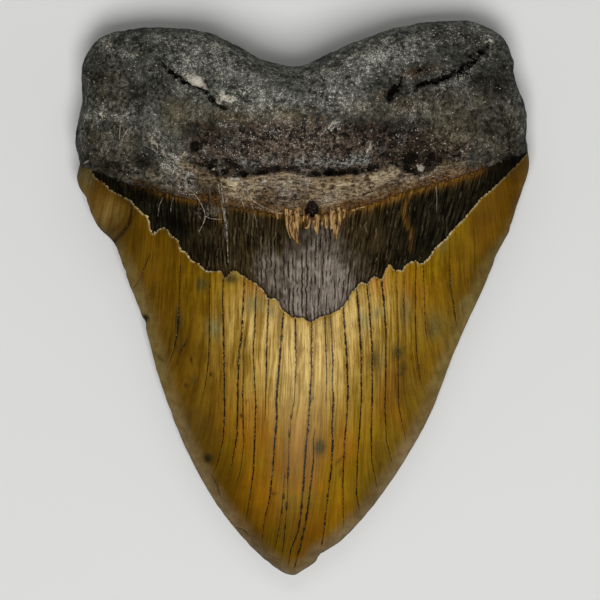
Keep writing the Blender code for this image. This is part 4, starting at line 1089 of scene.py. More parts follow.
# Mottled tones: at which values of the noise the dark one ends and the pale one begins, and both
TONES = {
    "root grey": (0.432, 0.595, (0.0165, 0.0165, 0.0140), (0.155, 0.155, 0.130)),
    "root wood": (0.42, 0.60, (0.030, 0.0245, 0.0120), (0.175, 0.148, 0.086)),
    "trough red": (0.440, 0.600, (0.0060, 0.0034, 0.0020), (0.175, 0.122, 0.086)),
    "root murk": (0.46, 0.62, (0.0070, 0.0060, 0.0030), (0.055, 0.047, 0.027)),
    "root earth": (0.43, 0.59, (0.030, 0.0225, 0.0115), (0.245, 0.200, 0.128)),
    "root crust": (0.42, 0.58, (0.040, 0.043, 0.038), (0.30, 0.305, 0.275)),
    "ledge brown": (0.430, 0.585, (0.024, 0.012, 0.005), (0.39, 0.275, 0.150)),
    "ledge pink": (0.430, 0.590, (0.036, 0.024, 0.018), (0.35, 0.27, 0.215)),
    "ledge cream": (0.415, 0.585, (0.120, 0.074, 0.032), (0.84, 0.68, 0.43)),
    "ledge fibre": (0.4, 0.6, (0.30, 0.22, 0.13), (0.72, 0.60, 0.43)),
    "torn fibre": (0.43, 0.60, (0.020, 0.014, 0.008), (0.24, 0.195, 0.130)),
    "umber": (0.42, 0.58, (0.012, 0.0050, 0.0022), (0.135, 0.066, 0.026)),
    "ground under dust": (0.42, 0.60, (0.014, 0.011, 0.008), (0.085, 0.072, 0.056)),
    "chalk": (0.4, 0.6, (0.26, 0.25, 0.215), (0.62, 0.60, 0.52)),
    "root edge": (0.42, 0.6, (0.036, 0.040, 0.036), (0.150, 0.158, 0.144)),
    "hollow shade": (0.4, 0.62, (0.0028, 0.0024, 0.0020), (0.014, 0.011, 0.009)),
    "root chip": (0.40, 0.60, (0.22, 0.185, 0.140), (0.72, 0.67, 0.56)),
    "seam": (0.40, 0.62, (0.036, 0.011, 0.002), (0.25, 0.120, 0.024)),
    "foramen": (0.44, 0.62, (0.0075, 0.0050, 0.0045), (0.060, 0.042, 0.040)),
    "band middle": (0.38, 0.62, (0.084, 0.065, 0.049), (0.262, 0.220, 0.178)),
    "band side": (0.38, 0.62, (0.0046, 0.0030, 0.0010), (0.046, 0.030, 0.0115)),
    "band end": (0.40, 0.64, (0.0020, 0.0016, 0.0008), (0.0165, 0.0130, 0.0055)),
    "band amber": (0.40, 0.62, (0.032, 0.011, 0.002), (0.26, 0.128, 0.018)),
    "enamel gold": (0.41, 0.59, (0.135, 0.069, 0.0012), (0.285, 0.165, 0.0045)),
    "enamel orange": (0.41, 0.59, (0.160, 0.060, 0.0012), (0.300, 0.132, 0.0030)),
    "enamel shade": (0.41, 0.59, (0.060, 0.0270, 0.0004), (0.120, 0.057, 0.0010)),
    "enamel painted highlight": (0.42, 0.58, (0.28, 0.160, 0.024), (0.70, 0.50, 0.170)),
    "upper edge": (0.36, 0.64, (0.140, 0.102, 0.032), (0.200, 0.155, 0.060)),
    "lower edge": (0.36, 0.64, (0.175, 0.125, 0.062), (0.250, 0.190, 0.105)),
    "verdigris": (0.4, 0.6, (0.105, 0.096, 0.034), (0.205, 0.190, 0.084)),
    "olive": (0.4, 0.62, (0.028, 0.022, 0.005), (0.074, 0.060, 0.014)),
    "crack filling": (0.53, 0.64, (0.0065, 0.0032, 0.0012), (0.190, 0.140, 0.060)),
    "border crumbs": (0.4, 0.6, (0.38, 0.27, 0.10), (0.68, 0.60, 0.38)),
    "splinters": (0.38, 0.62, (0.080, 0.030, 0.007), (0.41, 0.262, 0.112)),
    "dried_threads": (0.38, 0.62, (0.050, 0.041, 0.029), (0.34, 0.30, 0.23)),
    "mineral_grains": (0.38, 0.62, (0.14, 0.135, 0.115), (0.46, 0.445, 0.39)),
}
# Plain colours of lines and spots
LEDGE_SEAM = (0.022, 0.010, 0.004)
MIDDLE_THIN_LINE = (0.040, 0.027, 0.020)
MIDDLE_DARK_LINE = (0.010, 0.006, 0.004)
SIDE_PALE_LINE = (0.150, 0.115, 0.062)
SIDE_THIN_LINE = (0.0030, 0.0016, 0.0006)
END_PALE_LINE = (0.095, 0.078, 0.046)
BAND_SHADOW = (0.006, 0.004, 0.002)
GROWTH_LINE = (0.080, 0.034, 0.002)
BROWN_SPOT = (0.016, 0.009, 0.003)
FRECKLE = (0.070, 0.033, 0.004)
CRACK_HALO = (0.125, 0.052, 0.004)
CREASE_SHADE = (0.036, 0.017, 0.003)
PAINTED_SHADE_COLOUR = (0.001, 0.0008, 0.0004)


class Wire:
    """One output socket of a tree's nodes, on which sums and products can be written."""

    def __init__(self, tree, socket):
        self.tree = tree
        self.socket = socket

    def _maths(self, operation, *values):
        return self.tree.node("ShaderNodeMath", {"operation": operation}, dict(enumerate(values)))

    def __add__(self, other):
        return self._maths("ADD", self, other)

    def __radd__(self, other):
        return self._maths("ADD", other, self)

    def __sub__(self, other):
        return self._maths("SUBTRACT", self, other)

    def __rsub__(self, other):
        return self._maths("SUBTRACT", other, self)

    def __mul__(self, other):
        return self._maths("MULTIPLY", self, other)

    def __rmul__(self, other):
        return self._maths("MULTIPLY", other, self)

    def __truediv__(self, other):
        return self._maths("DIVIDE", self, other)

    def __abs__(self):
        return self._maths("ABSOLUTE", self)

    def to_nearest(self):
        return self._maths("ROUND", self)

    def at_most(self, other):
        return self._maths("MINIMUM", self, other)

    def at_least(self, other):
        return self._maths("MAXIMUM", self, other)


class Tree:
    """A node tree that is filled one node at a time."""

    def __init__(self, tree):
        self.tree = tree

    def node(self, kind, settings=None, values=None, out=0):
        made = self.tree.nodes.new(kind)
        for name, setting in (settings or {}).items():
            setattr(made, name, setting)
        for name, value in (values or {}).items():
            if isinstance(value, Wire):
                self.tree.links.new(value.socket, made.inputs[name])
            else:
                made.inputs[name].default_value = value
        return Wire(self, made.outputs[out]) if made.outputs else None


class Finish(Tree):
    """A material's node tree."""

    def __init__(self, name):
        self.material = bpy.data.materials.new(name)
        self.material.use_nodes = True
        super().__init__(self.material.node_tree)
        self.tree.nodes.clear()

    def mark(self, name):
        """What a mark of the surface says."""
        return self.node("ShaderNodeAttribute", {"attribute_name": name}, out="Fac")

    def vector(self, x, y, z):
        """One place out of three numbers."""
        return self.node("ShaderNodeCombineXYZ", values={0: x, 1: y, 2: z})

    def millimetres(self):
        """Object coordinates in millimetres."""
        return self.scaled(self.node("ShaderNodeTexCoord", out="Object"), (1 / MM,) * 3)

    def scaled(self, place, factors):
        """A place stretched by a factor along each axis."""
        return self.node("ShaderNodeVectorMath", {"operation": "MULTIPLY"}, {0: place, 1: factors})

    def cloud(self, place, scale, detail=3.0, roughness=0.55, distortion=0.0):
        """Noise whose scale is the number of lumps in a millimetre."""
        return self.node("ShaderNodeTexNoise", values={
            "Vector": place, "Scale": scale, "Detail": detail, "Roughness": roughness,
            "Distortion": distortion,
        })

    def stripes(self, across, along, pitch, wander, seed, broken_from):
        """Thin wandering lines that run along a direction: 1 on each and 0 between. Each line
        is broken up on its own."""
        drift = self.cloud(self.vector(across * 0.12, along * 0.11, seed), 1.0, 2.0)
        kinks = self.cloud(self.vector(across * 0.15, along * 0.7, seed), 1.0, 2.0)
        place = across / pitch + (drift - 0.5) * wander * 2.0 + (kinks - 0.5) * 0.7
        line = place.to_nearest()
        ends = self.cloud(self.vector(line * 3.7, along * 0.16, seed + 0.5), 1.0, 3.0, 0.65)
        shown = self.smooth(broken_from, broken_from + 0.12, ends)
        return self.smooth(0.24, 0.08, abs(place - line)) * shown

    def smooth(self, low, high, value):
        """0 at low, 1 at high and smooth between."""
        return self.node("ShaderNodeMapRange", {"interpolation_type": "SMOOTHSTEP"}, {
            "Value": value, "From Min": low, "From Max": high,
        })

    def blend(self, share, first, second):
        """One colour where share is 0, and another where it is 1."""
        first, second = ((*c, 1) if isinstance(c, tuple) else c for c in (first, second))
        return self.node("ShaderNodeMix", {"data_type": "RGBA"}, {0: share, 6: first, 7: second}, out=2)

    def mottled(self, name, value):
        """A colour between the two tones of that name, by where a value lies."""
        low, high, dark, pale = TONES[name]
        return self.blend(self.smooth(low, high, value), dark, pale)

    def output(self, height, bump_strength, **values):
        """The shader at the end of the tree. height is in millimetres."""
        bump = self.node("ShaderNodeBump", values={
            "Strength": bump_strength, "Distance": MM, "Height": height,
        })
        shader = self.node("ShaderNodeBsdfPrincipled", values={
            **{name.replace("_", " "): value for name, value in values.items()}, "Normal": bump,
        })
        self.node("ShaderNodeOutputMaterial", values={0: shader})
        return self.material


def over(share, top, below):
    """What shows where one value lies over another with some share."""
    return top * share + below * (1 - share)


def root_clouds(f, place):
    """The noises that the root's stains share, from its finest grains to its widest mottling."""
    n = SimpleNamespace(
        grain=f.cloud(place, 1.05, 3.0, 0.7),
        fine=f.cloud(place, 2.9, 2.0, 0.7),
        clumps=f.cloud(place, 0.42, 4.0, 0.65, 0.8),
        mottle=f.cloud(place, 0.15, 4.0, 0.6),
        strands=f.cloud(f.scaled(place, (1.5, 0.26, 0.26)), 1.0, 3.0, 0.65),
        layers=f.cloud(f.scaled(place, (0.26, 1.05, 0.6)), 1.0, 5.0, 0.72, 2.2),
    )
    n.gritty = n.grain * 0.46 + n.fine * 0.26 + n.clumps * 0.28
    return n


def root_ground(f, n):
    """Dark grey root with fibrous, murky and earthy stains, and its reddish trough."""
    dust, trough = f.mark("dust"), f.mark("trough")
    tone = n.grain * 0.32 + n.fine * 0.18 + n.clumps * 0.26 + n.mottle * 0.24
    colour = f.mottled("root grey", tone + f.mark("relief") * 0.04 + dust * 0.05)
    wood = f.mottled("root wood", n.strands * 0.45 + n.fine * 0.25 + n.clumps * 0.30)
    colour = f.blend((f.mark("fibre") * (0.4 + n.mottle)).at_most(0.80), colour, wood)
    red = f.mottled("trough red", n.grain * 0.34 + n.fine * 0.22 + n.clumps * 0.44 + dust * 0.03)
    ragged = trough + (n.grain - 0.5) * 1.2 + (n.clumps - 0.5) * 2.2 + (n.mottle - 0.5) * 1.2
    colour = f.blend(f.smooth(0.15, 0.95, ragged) * f.smooth(0.02, 0.3, trough) * 0.94, colour, red)
    colour = f.blend(f.mark("murk") * 0.78, colour, f.mottled("root murk", n.fine))
    warm = f.mark("warm") * (0.3 + f.smooth(0.40, 0.60, n.clumps) * 0.7)
    colour = f.blend(warm.at_most(0.85), colour, f.mottled("root earth", n.gritty))
    crusty = f.mark("crust") * (0.25 + f.smooth(0.42, 0.58, n.fine * 0.5 + n.grain * 0.5))
    return f.blend(crusty.at_most(0.9), colour, f.mottled("root crust", n.gritty))


def ledge_layers(f, n, colour):
    """The bedded brown, pink and cream ledge, with its pale fibres and dark seams."""
    ledge, along, root_gap = f.mark("ledge"), f.mark("band_across"), f.mark("root_gap")
    bed_tone = n.layers * 0.34 + n.grain * 0.24 + n.fine * 0.16 + n.clumps * 0.26
    pink = f.mottled("ledge pink", n.gritty * 0.7 + n.layers * 0.3)
    bed = f.blend(f.smooth(0.46, 0.58, n.mottle) * 0.8, f.mottled("ledge brown", bed_tone), pink)
    creamy = (f.mark("cream") * (0.35 + n.clumps * 1.1)).at_most(0.92)
    bed = f.blend(creamy, bed, f.mottled("ledge cream", bed_tone))
    fibres = f.stripes(root_gap + n.clumps * 2.0, along, pitch=0.85, wander=1.6, seed=11.0, broken_from=0.47)
    bed = f.blend(fibres * 0.65, bed, f.mottled("ledge fibre", n.fine))
    seams = f.stripes(root_gap + n.clumps * 2.6, along, pitch=1.10, wander=1.6, seed=15.0, broken_from=0.50)
    bed = f.blend(seams * 0.60, bed, LEDGE_SEAM)
    return f.blend(ledge * f.smooth(0.1, 0.5, ledge + (n.clumps - 0.5)) * 0.95, colour, bed)


def torn_fibres(f, n, colour):
    """Torn fibres that hang over the band, and reddish brown stains."""
    curtain = f.smooth(0.20, 0.60, f.mark("curtain") + (n.clumps - 0.5) * 0.8)
    colour = f.blend(curtain * 0.85, colour, f.mottled("torn fibre", n.strands * 0.7 + n.fine * 0.3))
    stain = f.mark("umber") * (0.50 + f.smooth(0.4, 0.6, n.grain) * 0.75)
    return f.blend(stain.at_most(0.92), colour, f.mottled("umber", n.strands * 0.5 + n.clumps * 0.5))


def root_dust(f, n, colour):
    """Chalky dust, flakier where it lies thick, and the root's pale edge. Gives the powder too."""
    dust = f.mark("dust")
    thick = f.smooth(0.8, 1.15, dust)
    thin_tone = n.fine * 0.44 + n.grain * 0.30 + n.clumps * 0.26
    thick_tone = n.fine * 0.10 + n.grain * 0.45 + n.clumps * 0.45
    tone = thin_tone + (thick_tone - thin_tone) * thick
    powder = f.smooth(0.572, 0.630, tone + dust * 0.080 - thick * 0.012 + (n.mottle - 0.5) * 0.20)
    colour = f.blend(thick * 0.6, colour, f.mottled("ground under dust", n.gritty))
    colour = f.blend(powder * 0.88, colour, f.mottled("chalk", n.fine))
    edge = f.smooth(2.6, 0.6, f.mark("rim_gap") + (n.mottle - 0.5) * 4.0)
    return f.blend(edge * 0.5, colour, f.mottled("root edge", n.gritty)), powder


def root_hollows(f, n, colour):
    """Painted shade in hollows, fissures, pores and low places, and the pale chips. Gives the chips' share
    too.
    """
    hollow_mark = f.mark("hollow")
    hollow = f.smooth(0.30, 1.0, hollow_mark + (n.clumps - 0.5) * 1.6 + (n.grain - 0.5) * 1.4)
    crevice = f.smooth(0.30, 0.90, f.mark("crevice") + (n.grain - 0.5) * 0.9)
    sunk_shade = f.smooth(-0.35, -0.95, f.mark("relief")) * (0.6 - f.mark("ledge") * 0.4)
    dark = (hollow * f.smooth(0.04, 0.2, hollow_mark) + crevice + sunk_shade).at_most(1.0)
    colour = f.blend(dark * 0.92, colour, f.mottled("hollow shade", n.fine))
    chip = f.smooth(-0.02, 0.20, f.mark("speck_gap") + (n.grain - 0.5) * 2.2 + (n.clumps - 0.5) * 1.2)
    return f.blend(chip * 0.9, colour, f.mottled("root chip", n.fine * 0.35 + n.clumps * 0.65)), chip


def root_finish(f, place):
    """Dark grey porous root with pale grains, fibrous stains and a reddish trough."""
    n = root_clouds(f, place)
    colour = ledge_layers(f, n, root_ground(f, n))
    colour, powder = root_dust(f, n, torn_fibres(f, n, colour))
    colour, chip = root_hollows(f, n, colour)
    height = n.grain * 0.60 + n.fine * 0.25 + n.clumps * 0.4 + powder * 0.12 + chip * 0.3
    return colour, 0.86 - n.fine * 0.1, height + n.layers * f.mark("ledge")


def band_finish(f):
    """The dark band: grey with long dark lines in the middle, where a painted sheen lightens it too, and
    nearly black at both ends.
    """
    rise, across = f.mark("rise"), f.mark("band_across")
    fine = f.cloud(f.vector(across * 2.2, rise * 0.16, 8.0), 1.0, 3.0, 0.7)
    patchy = f.cloud(f.vector(across * 0.5, rise * 0.35, 2.0), 1.0, 3.0, 0.6)
    tint = f.cloud(f.vector(across * 0.2, rise * 0.1, 4.0), 1.0, 3.0, 0.5)
    dark_lines = f.stripes(across, rise, pitch=1.15, wander=0.9, seed=3.0, broken_from=0.43)
    thin_lines = f.stripes(across, rise, pitch=0.78, wander=1.1, seed=9.0, broken_from=0.46)
    pale_lines = f.stripes(across, rise, pitch=1.15, wander=1.3, seed=5.0, broken_from=0.46)
    middle = f.mottled("band middle", fine * 0.6 + patchy * 0.4)
    middle = f.blend(thin_lines * 0.50, middle, MIDDLE_THIN_LINE)
    middle = f.blend(dark_lines * 0.94, middle, MIDDLE_DARK_LINE)
    side = f.mottled("band side", fine)
    side = f.blend(pale_lines * 0.60 * f.smooth(0.38, 0.58, patchy), side, SIDE_PALE_LINE)
    side = f.blend(thin_lines * 0.6, side, SIDE_THIN_LINE)
    end = f.mottled("band end", fine)
    end = f.blend(pale_lines * 0.34 * f.smooth(0.44, 0.58, patchy), end, END_PALE_LINE)
    side = f.blend(f.smooth(18.0, 31.0, abs(across + 3.0)), side, end)
    # paler ground and painted sheen in the band's middle
    grey = f.mark("band_grey_and_sheen") + (tint - 0.5) * 0.30 + (patchy - 0.5) * 0.3
    colour = f.blend(f.smooth(0.14, 0.80, grey), side, middle)
    colour = f.blend((f.mark("rust") * (0.3 + fine)).at_most(0.95), colour, f.mottled("band amber", fine))
    height = fine * 0.16 - dark_lines * 0.16 - thin_lines * 0.06 + pale_lines * 0.05
    return colour, 0.62, height


def enamel_clouds(f, place, streak):
    """The noises that the enamel's stains share. streak grows across the growth lines."""
    rise = f.mark("rise")
    return SimpleNamespace(
        rise=rise,
        broad=f.cloud(f.vector(streak * 0.55, rise * 0.05, 1.0), 0.9, 3.0, 0.6, 0.3),
        fine=f.cloud(f.vector(streak * 2.4, rise * 0.08, 2.0), 1.0, 3.0, 0.7, 0.3),
        cloudy=f.cloud(place, 0.10, 4.0, 0.6, 0.5),
        patchy=f.cloud(place, 0.35, 3.0, 0.6),
        dots=f.cloud(place, 1.9, 2.0, 0.6),
        growth=f.stripes(streak, rise, pitch=0.62, wander=1.0, seed=7.0, broken_from=0.46),
    )


def enamel_ground(f, n):
    """Ochre enamel, ruddier and darker towards the sides, where the colour deepens and painted shade is
    added, with a painted highlight in the middle.
    """
    shoulder = f.smooth(2.0, 20.0, n.rise) * f.smooth(28.0, 42.0, abs(f.mark("band_across")))
    calm = f.smooth(-10.0, -42.0, n.rise).at_least(shoulder)
    tone = n.broad * 0.42 + n.fine * 0.46 + n.patchy * 0.12
    tone = tone + (0.5 - tone) * calm * 0.5
    hue = f.smooth(0.25, 0.75, f.mark("orange") * 0.6 + (n.cloudy - 0.2) + (n.broad - 0.5) * 0.9)
    colour = f.blend(hue, f.mottled("enamel gold", tone), f.mottled("enamel orange", tone))
    # deeper colour and painted shade towards the sides
    shade = f.smooth(0.05, 1.05, f.mark("deep_and_shaded") + (n.cloudy - 0.5) * 0.5)
    colour = f.blend(shade * 0.92, colour, f.mottled("enamel shade", tone))
    # painted highlight of the key light in the middle of the enamel
    painted_highlight = f.mark("painted_highlight") * f.smooth(-0.6, 1.0, f.mark("enamel_gap"))
    painted_highlight = (painted_highlight * (0.42 + n.broad * 0.85)).at_most(0.95)
    colour = f.blend(painted_highlight, colour, f.mottled("enamel painted highlight", tone))
    return f.blend(n.growth * (0.30 - calm * 0.16), colour, GROWTH_LINE)


def enamel_stains(f, n, colour):
    """Paler cutting edges, worn thin and with a painted rim highlight, and green, olive and brown stains."""
    rim = f.mark("rim_gap")
    # paler cutting edges: thin worn enamel, and a painted rim highlight
    worn_edge_and_highlight = f.smooth(4.9, 0.6, rim + (n.cloudy - 0.5) * 1.6 + f.smooth(4.0, 26.0, n.rise) * 2.8)
    worn_edge_and_highlight = worn_edge_and_highlight.at_least(f.smooth(1.3, 0.3, rim) * 0.5)
    lower = f.smooth(-15.0, -45.0, n.rise)
    pale = f.blend(lower, f.mottled("upper edge", n.patchy), f.mottled("lower edge", n.patchy))
    colour = f.blend(worn_edge_and_highlight * (0.88 - f.mark("deep_and_shaded") * 0.22), colour, pale)
    spotty = n.fine * 0.6 + n.dots * 0.4
    green = f.mark("verdigris") * (0.2 + n.patchy * 1.2)
    colour = f.blend(green.at_most(0.8), colour, f.mottled("verdigris", spotty))
    murky = f.mark("olive") * (0.35 + n.cloudy) + f.smooth(0.60, 0.78, n.cloudy) * 0.18
    colour = f.blend(murky.at_most(0.88), colour, f.mottled("olive", spotty))
    brown = f.mark("brown") * (0.35 + f.smooth(0.3, 0.6, n.dots))
    colour = f.blend(brown.at_most(0.95), colour, BROWN_SPOT)
    return f.blend(f.smooth(0.64, 0.72, n.dots) * 0.45, colour, FRECKLE)


def enamel_cracks(f, n, place, streak, colour):
    """Beaded dark cracks with brown halos, the painted shade of the crease, and the hairlines. Gives the
    cracks too.
    """
    jitter = f.cloud(f.vector(streak * 0.4, n.rise, 9.0), 1.0, 2.0, 0.7) - 0.5
    bead = f.cloud(f.vector(streak * 0.35, n.rise * 0.55, 4.0), 1.0, 4.0, 0.75)
    near_place, force = f.mark("crack_place"), f.mark("crack_force")
    offset = abs((near_place - near_place.to_nearest()) * f.mark("crack_pitch") + jitter * 0.45)
    crack = f.smooth(0.09, -0.05, offset - force * (bead * 0.95 - 0.26)) * f.smooth(0.05, 0.25, force)
    halo = f.smooth(0.9, 0.1, offset) * force * f.smooth(0.42, 0.60, n.broad + (bead - 0.5) * 0.4)
    colour = f.blend(halo * 0.6, colour, CRACK_HALO)
    colour = f.blend((f.mark("crease") * (0.5 + n.broad)).at_most(0.9), colour, CREASE_SHADE)
    hair = f.smooth(0.22, 0.05, abs(f.mark("hair_gap") + jitter * 0.4)) * f.mark("hair_force")
    filling = f.mottled("crack filling", f.cloud(place, 2.4, 2.0, 0.6) * 0.75 + n.cloudy * 0.25)
    return f.blend((crack * 0.96 + hair * 0.8).at_most(0.96), colour, filling), crack


def enamel_finish(f, place, streak):
    """Ochre enamel with growth streaks, dark cracks, olive clouds and paler cutting edges."""
    n = enamel_clouds(f, place, streak)
    colour = enamel_stains(f, n, enamel_ground(f, n))
    colour, crack = enamel_cracks(f, n, place, streak, colour)
    crumbly = f.smooth(0.60, 0.10, f.mark("enamel_gap") + (n.dots - 0.5) * 1.3)
    border = crumbly * f.mark("border") * f.smooth(0.38, 0.54, f.cloud(place, 0.8, 3.0, 0.7))
    colour = f.blend(border * 0.9, colour, f.mottled("border crumbs", n.dots))
    height = n.fine * 0.07 + n.broad * 0.03 + n.patchy * 0.04 - crack * 0.14 + n.dots * 0.018
    return colour, 0.42 + crack * 0.4, height - n.growth * 0.03


def tooth_finish(settings):
    """One finish for the whole tooth. Marks on its surface say where each zone begins."""
    f = Finish("fossil_tooth")
    place = f.millimetres()
    wobble = f.cloud(place, 0.9, 3.0, 0.6)
    teeth = f.cloud(place, 1.6, 3.0, 0.7)
    root_gap, enamel_gap = f.mark("root_gap"), f.mark("enamel_gap")
    hanging = f.smooth(0.42, 0.60, f.mark("curtain") + (wobble - 0.5) * 1.2 + (teeth - 0.5) * 0.8)
    root_share = f.smooth(-0.25, 0.25, root_gap + (wobble - 0.5) * 2.4).at_least(hanging)
    enamel_share = f.smooth(-0.06, 0.06, enamel_gap + (teeth - 0.5) * 1.2)
    root, root_rough, root_bumps = root_finish(f, place)
    band, band_rough, band_bumps = band_finish(f)
    enamel, enamel_rough, enamel_bumps = enamel_finish(f, place, f.mark("crack_place") * CRACK_PITCH)
    colour = f.blend(f.smooth(-0.8, -0.1, enamel_gap) * 0.7, band, BAND_SHADOW)
    colour = f.blend(root_share, f.blend(enamel_share, colour, enamel), root)
    seam = f.smooth(2.6, 0.5, abs(root_gap - 0.7)) * f.mark("rust").at_least(f.mark("ledge") * 0.8)
    colour = f.blend(seam * f.smooth(0.38, 0.56, wobble), colour, f.mottled("seam", teeth))
    # painted shade in the foramen's opening
    foramen = (f.mark("foramen") * (0.7 + teeth * 0.6)).at_most(0.96)
    colour = f.blend(foramen, colour, f.mottled("foramen", teeth))
    # painted shade, darkening whatever colour lies there
    colour = f.blend(f.mark("painted_shade"), colour, PAINTED_SHADE_COLOUR)
    return f.output(
        over(root_share, root_bumps, over(enamel_share, enamel_bumps, band_bumps)), 1.0,
        Base_Color=colour,
        Roughness=over(root_share, root_rough, over(enamel_share, enamel_rough, band_rough)),
        Coat_Weight=enamel_share * (1 - root_share) * settings.gloss, Coat_Roughness=COAT_ROUGHNESS,
        Specular_IOR_Level=SHEEN,
    )


def plain_finish(name, scale, roughness):
    """A dull mineral finish, mottled between two tones."""
    f = Finish(name)
    tone = f.cloud(f.scaled(f.millimetres(), scale), 1.0, 4.0, 0.65)
    colour = f.mottled(name, tone)
    return f.output(tone * 0.3, 0.8, Base_Color=colour, Roughness=roughness, Specular_IOR_Level=SHEEN)


class ToothSettings(bpy.types.PropertyGroup):
    gloss: bpy.props.FloatProperty(
        name="Enamel gloss", description="Weight of the enamel's clear shine", default=0.06,
        min=0.0, max=1.0, subtype="FACTOR",
    )
    grain_size: bpy.props.FloatProperty(
        name="Grain size", description="Width of the largest mineral grains on the root",
        default=0.42 * MM, min=0.0, unit="LENGTH",
    )
    grain_density: bpy.props.FloatProperty(
        name="Grain density", description="Mineral grains on a square centimetre of dusty root",
        default=90.0, min=0.0,
    )


class StageSettings(bpy.types.PropertyGroup):
    floor_colour: bpy.props.FloatVectorProperty(
        name="Floor colour", description="Colour of the floor below the tooth",
        default=(0.62, 0.62, 0.61), min=0.0, max=1.0, subtype="COLOR",
    )
    view_width: bpy.props.FloatProperty(
        name="View width", description="Width of what the camera sees at the tooth's rim",
        default=156.8 * MM, min=0.0, unit="LENGTH",
    )
    camera_height: bpy.props.FloatProperty(
        name="Camera height", description="Height of the camera over the tooth's rim",
        default=1.25, min=0.0, unit="LENGTH",
    )


def new_object(name, data):
    """An object in the scene, at the origin."""
    made = bpy.data.objects.new(name, data)
    bpy.context.scene.collection.objects.link(made)
    return made


def hand_over(piece):
    """Fixes a finished piece to the tooth's body."""
    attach(piece, "root")


# Strands
PATH_STEPS = 8
STRAND_SIDES = 8
STRAND_WAVES = 1.3
STRAND_THINNEST = 0.03
STRAND_ROUGHNESS = 0.8
STRANDS = {  # for each piece its paths, lift in half widths, flatness and stretch of its mottling
    "splinters": (SPLINTERS, 0.1, 0.55, (2.2, 0.35, 1.0)),
    "dried_threads": (THREADS, 0.4, 0.9, (1.2, 1.2, 1.2)),
}

# Mineral grains
GRAINS_FROM = 12.0  # height above which they lie
GRAINS_ANYWHERE = 0.10  # how thickly they lie on bare root, where it is 1 on thick dust
GRAINS_DUST_POWER = 1.5
GRAINS_IN_TROUGH = 0.25
GRAIN_SEEDS = (4, 1, 2)  # of their places, turns and sizes
GRAIN_SIZES = (0.35, 1.0)  # smallest and largest, as shares of the size that is set
GRAIN_ROUGHNESS = 0.75
GRAIN_MOTTLING = (0.8, 0.8, 0.8)
FULL_TURN = 6.3  # in radians
SQUARE_CENTIMETRES = 1e4  # in a square metre


class Recipe(Tree):
    """A tree of Geometry Nodes that makes one mesh out of what it is given."""

    def __init__(self, name, inputs):
        super().__init__(bpy.data.node_groups.new(name, "GeometryNodeTree"))
        face = self.tree.interface
        face.new_socket("Geometry", in_out="INPUT", socket_type="NodeSocketGeometry")
        for label, kind in inputs.items():
            face.new_socket(label, in_out="INPUT", socket_type=kind)
        face.new_socket("Geometry", in_out="OUTPUT", socket_type="NodeSocketGeometry")
        self.inlet = self.tree.nodes.new("NodeGroupInput")

    def given(self, label):
        return Wire(self, self.inlet.outputs[label])

    def end(self, geometry):
        plain = self.node("GeometryNodeRealizeInstances", values={"Geometry": geometry})
        values = {"Geometry": plain, "Material": self.given("Material")}
        shaded = self.node("GeometryNodeSetMaterial", values=values)
        self.node("NodeGroupOutput", values={"Geometry": shaded})
        return self

    def apply(self, name, data, values):
        """A new object whose plain mesh is what the tree makes of some data."""
        source = new_object(name + "_source", data)
        modifier = source.modifiers.new(name, "NODES")
        modifier.node_group = self.tree
        for item in self.tree.interface.items_tree:
            if item.in_out == "INPUT" and item.name in values:
                modifier[item.identifier] = values[item.name]
        made = source.evaluated_get(bpy.context.evaluated_depsgraph_get())
        mesh = bpy.data.meshes.new_from_object(made)
        bpy.data.objects.remove(source)
        return new_object(name, mesh)


def strand_recipe():
    """Flattened rods along paths, as wide as each path's points say."""
    tree = Recipe("strands_along_paths", {
        "Flatness": "NodeSocketFloat", "Material": "NodeSocketMaterial",
    })
    ring = tree.node("GeometryNodeCurvePrimitiveCircle", values={
        "Resolution": STRAND_SIDES, "Radius": 1.0,
    })
    scale = tree.node("ShaderNodeCombineXYZ", values={0: 1.0, 1: tree.given("Flatness"), 2: 1.0})
    ring = tree.node("GeometryNodeTransform", values={"Geometry": ring, "Scale": scale})
    curve = {"Curve": tree.given("Geometry")}
    level = tree.node("GeometryNodeSetCurveNormal", {"mode": "Z_UP"}, curve)
    sweep = tree.node("GeometryNodeCurveToMesh", values={
        "Curve": level, "Profile Curve": ring, "Scale": tree.node("GeometryNodeInputRadius"),
        "Fill Caps": True,
    })
    return tree.end(sweep)


def grain_recipe():
    """Small angular grains, scattered where a mark on the surface asks for them."""
    tree = Recipe("scattered_grains", {
        "Density": "NodeSocketFloat", "Size": "NodeSocketFloat", "Material": "NodeSocketMaterial",
    })
    place_seed, turn_seed, size_seed = GRAIN_SEEDS
    share = tree.node("GeometryNodeInputNamedAttribute", {"data_type": "FLOAT"}, {"Name": "grains"})
    points = tree.node("GeometryNodeDistributePointsOnFaces", values={
        "Mesh": tree.given("Geometry"), "Density": share * tree.given("Density"), "Seed": place_seed,
    })
    turn = tree.node("FunctionNodeRandomValue", {"data_type": "FLOAT_VECTOR"}, {
        0: (0, 0, 0), 1: (FULL_TURN,) * 3, "Seed": turn_seed,
    })
    smallest, largest = GRAIN_SIZES
    size = tree.node("FunctionNodeRandomValue", {"data_type": "FLOAT"}, {
        2: smallest, 3: largest, "Seed": size_seed,
    }, out=1)
    grain = tree.node("GeometryNodeMeshIcoSphere", values={"Radius": 0.5, "Subdivisions": 1})
    placed = tree.node("GeometryNodeInstanceOnPoints", values={
        "Points": points, "Instance": grain, "Rotation": turn, "Scale": size * tree.given("Size"),
    })
    return tree.end(placed)


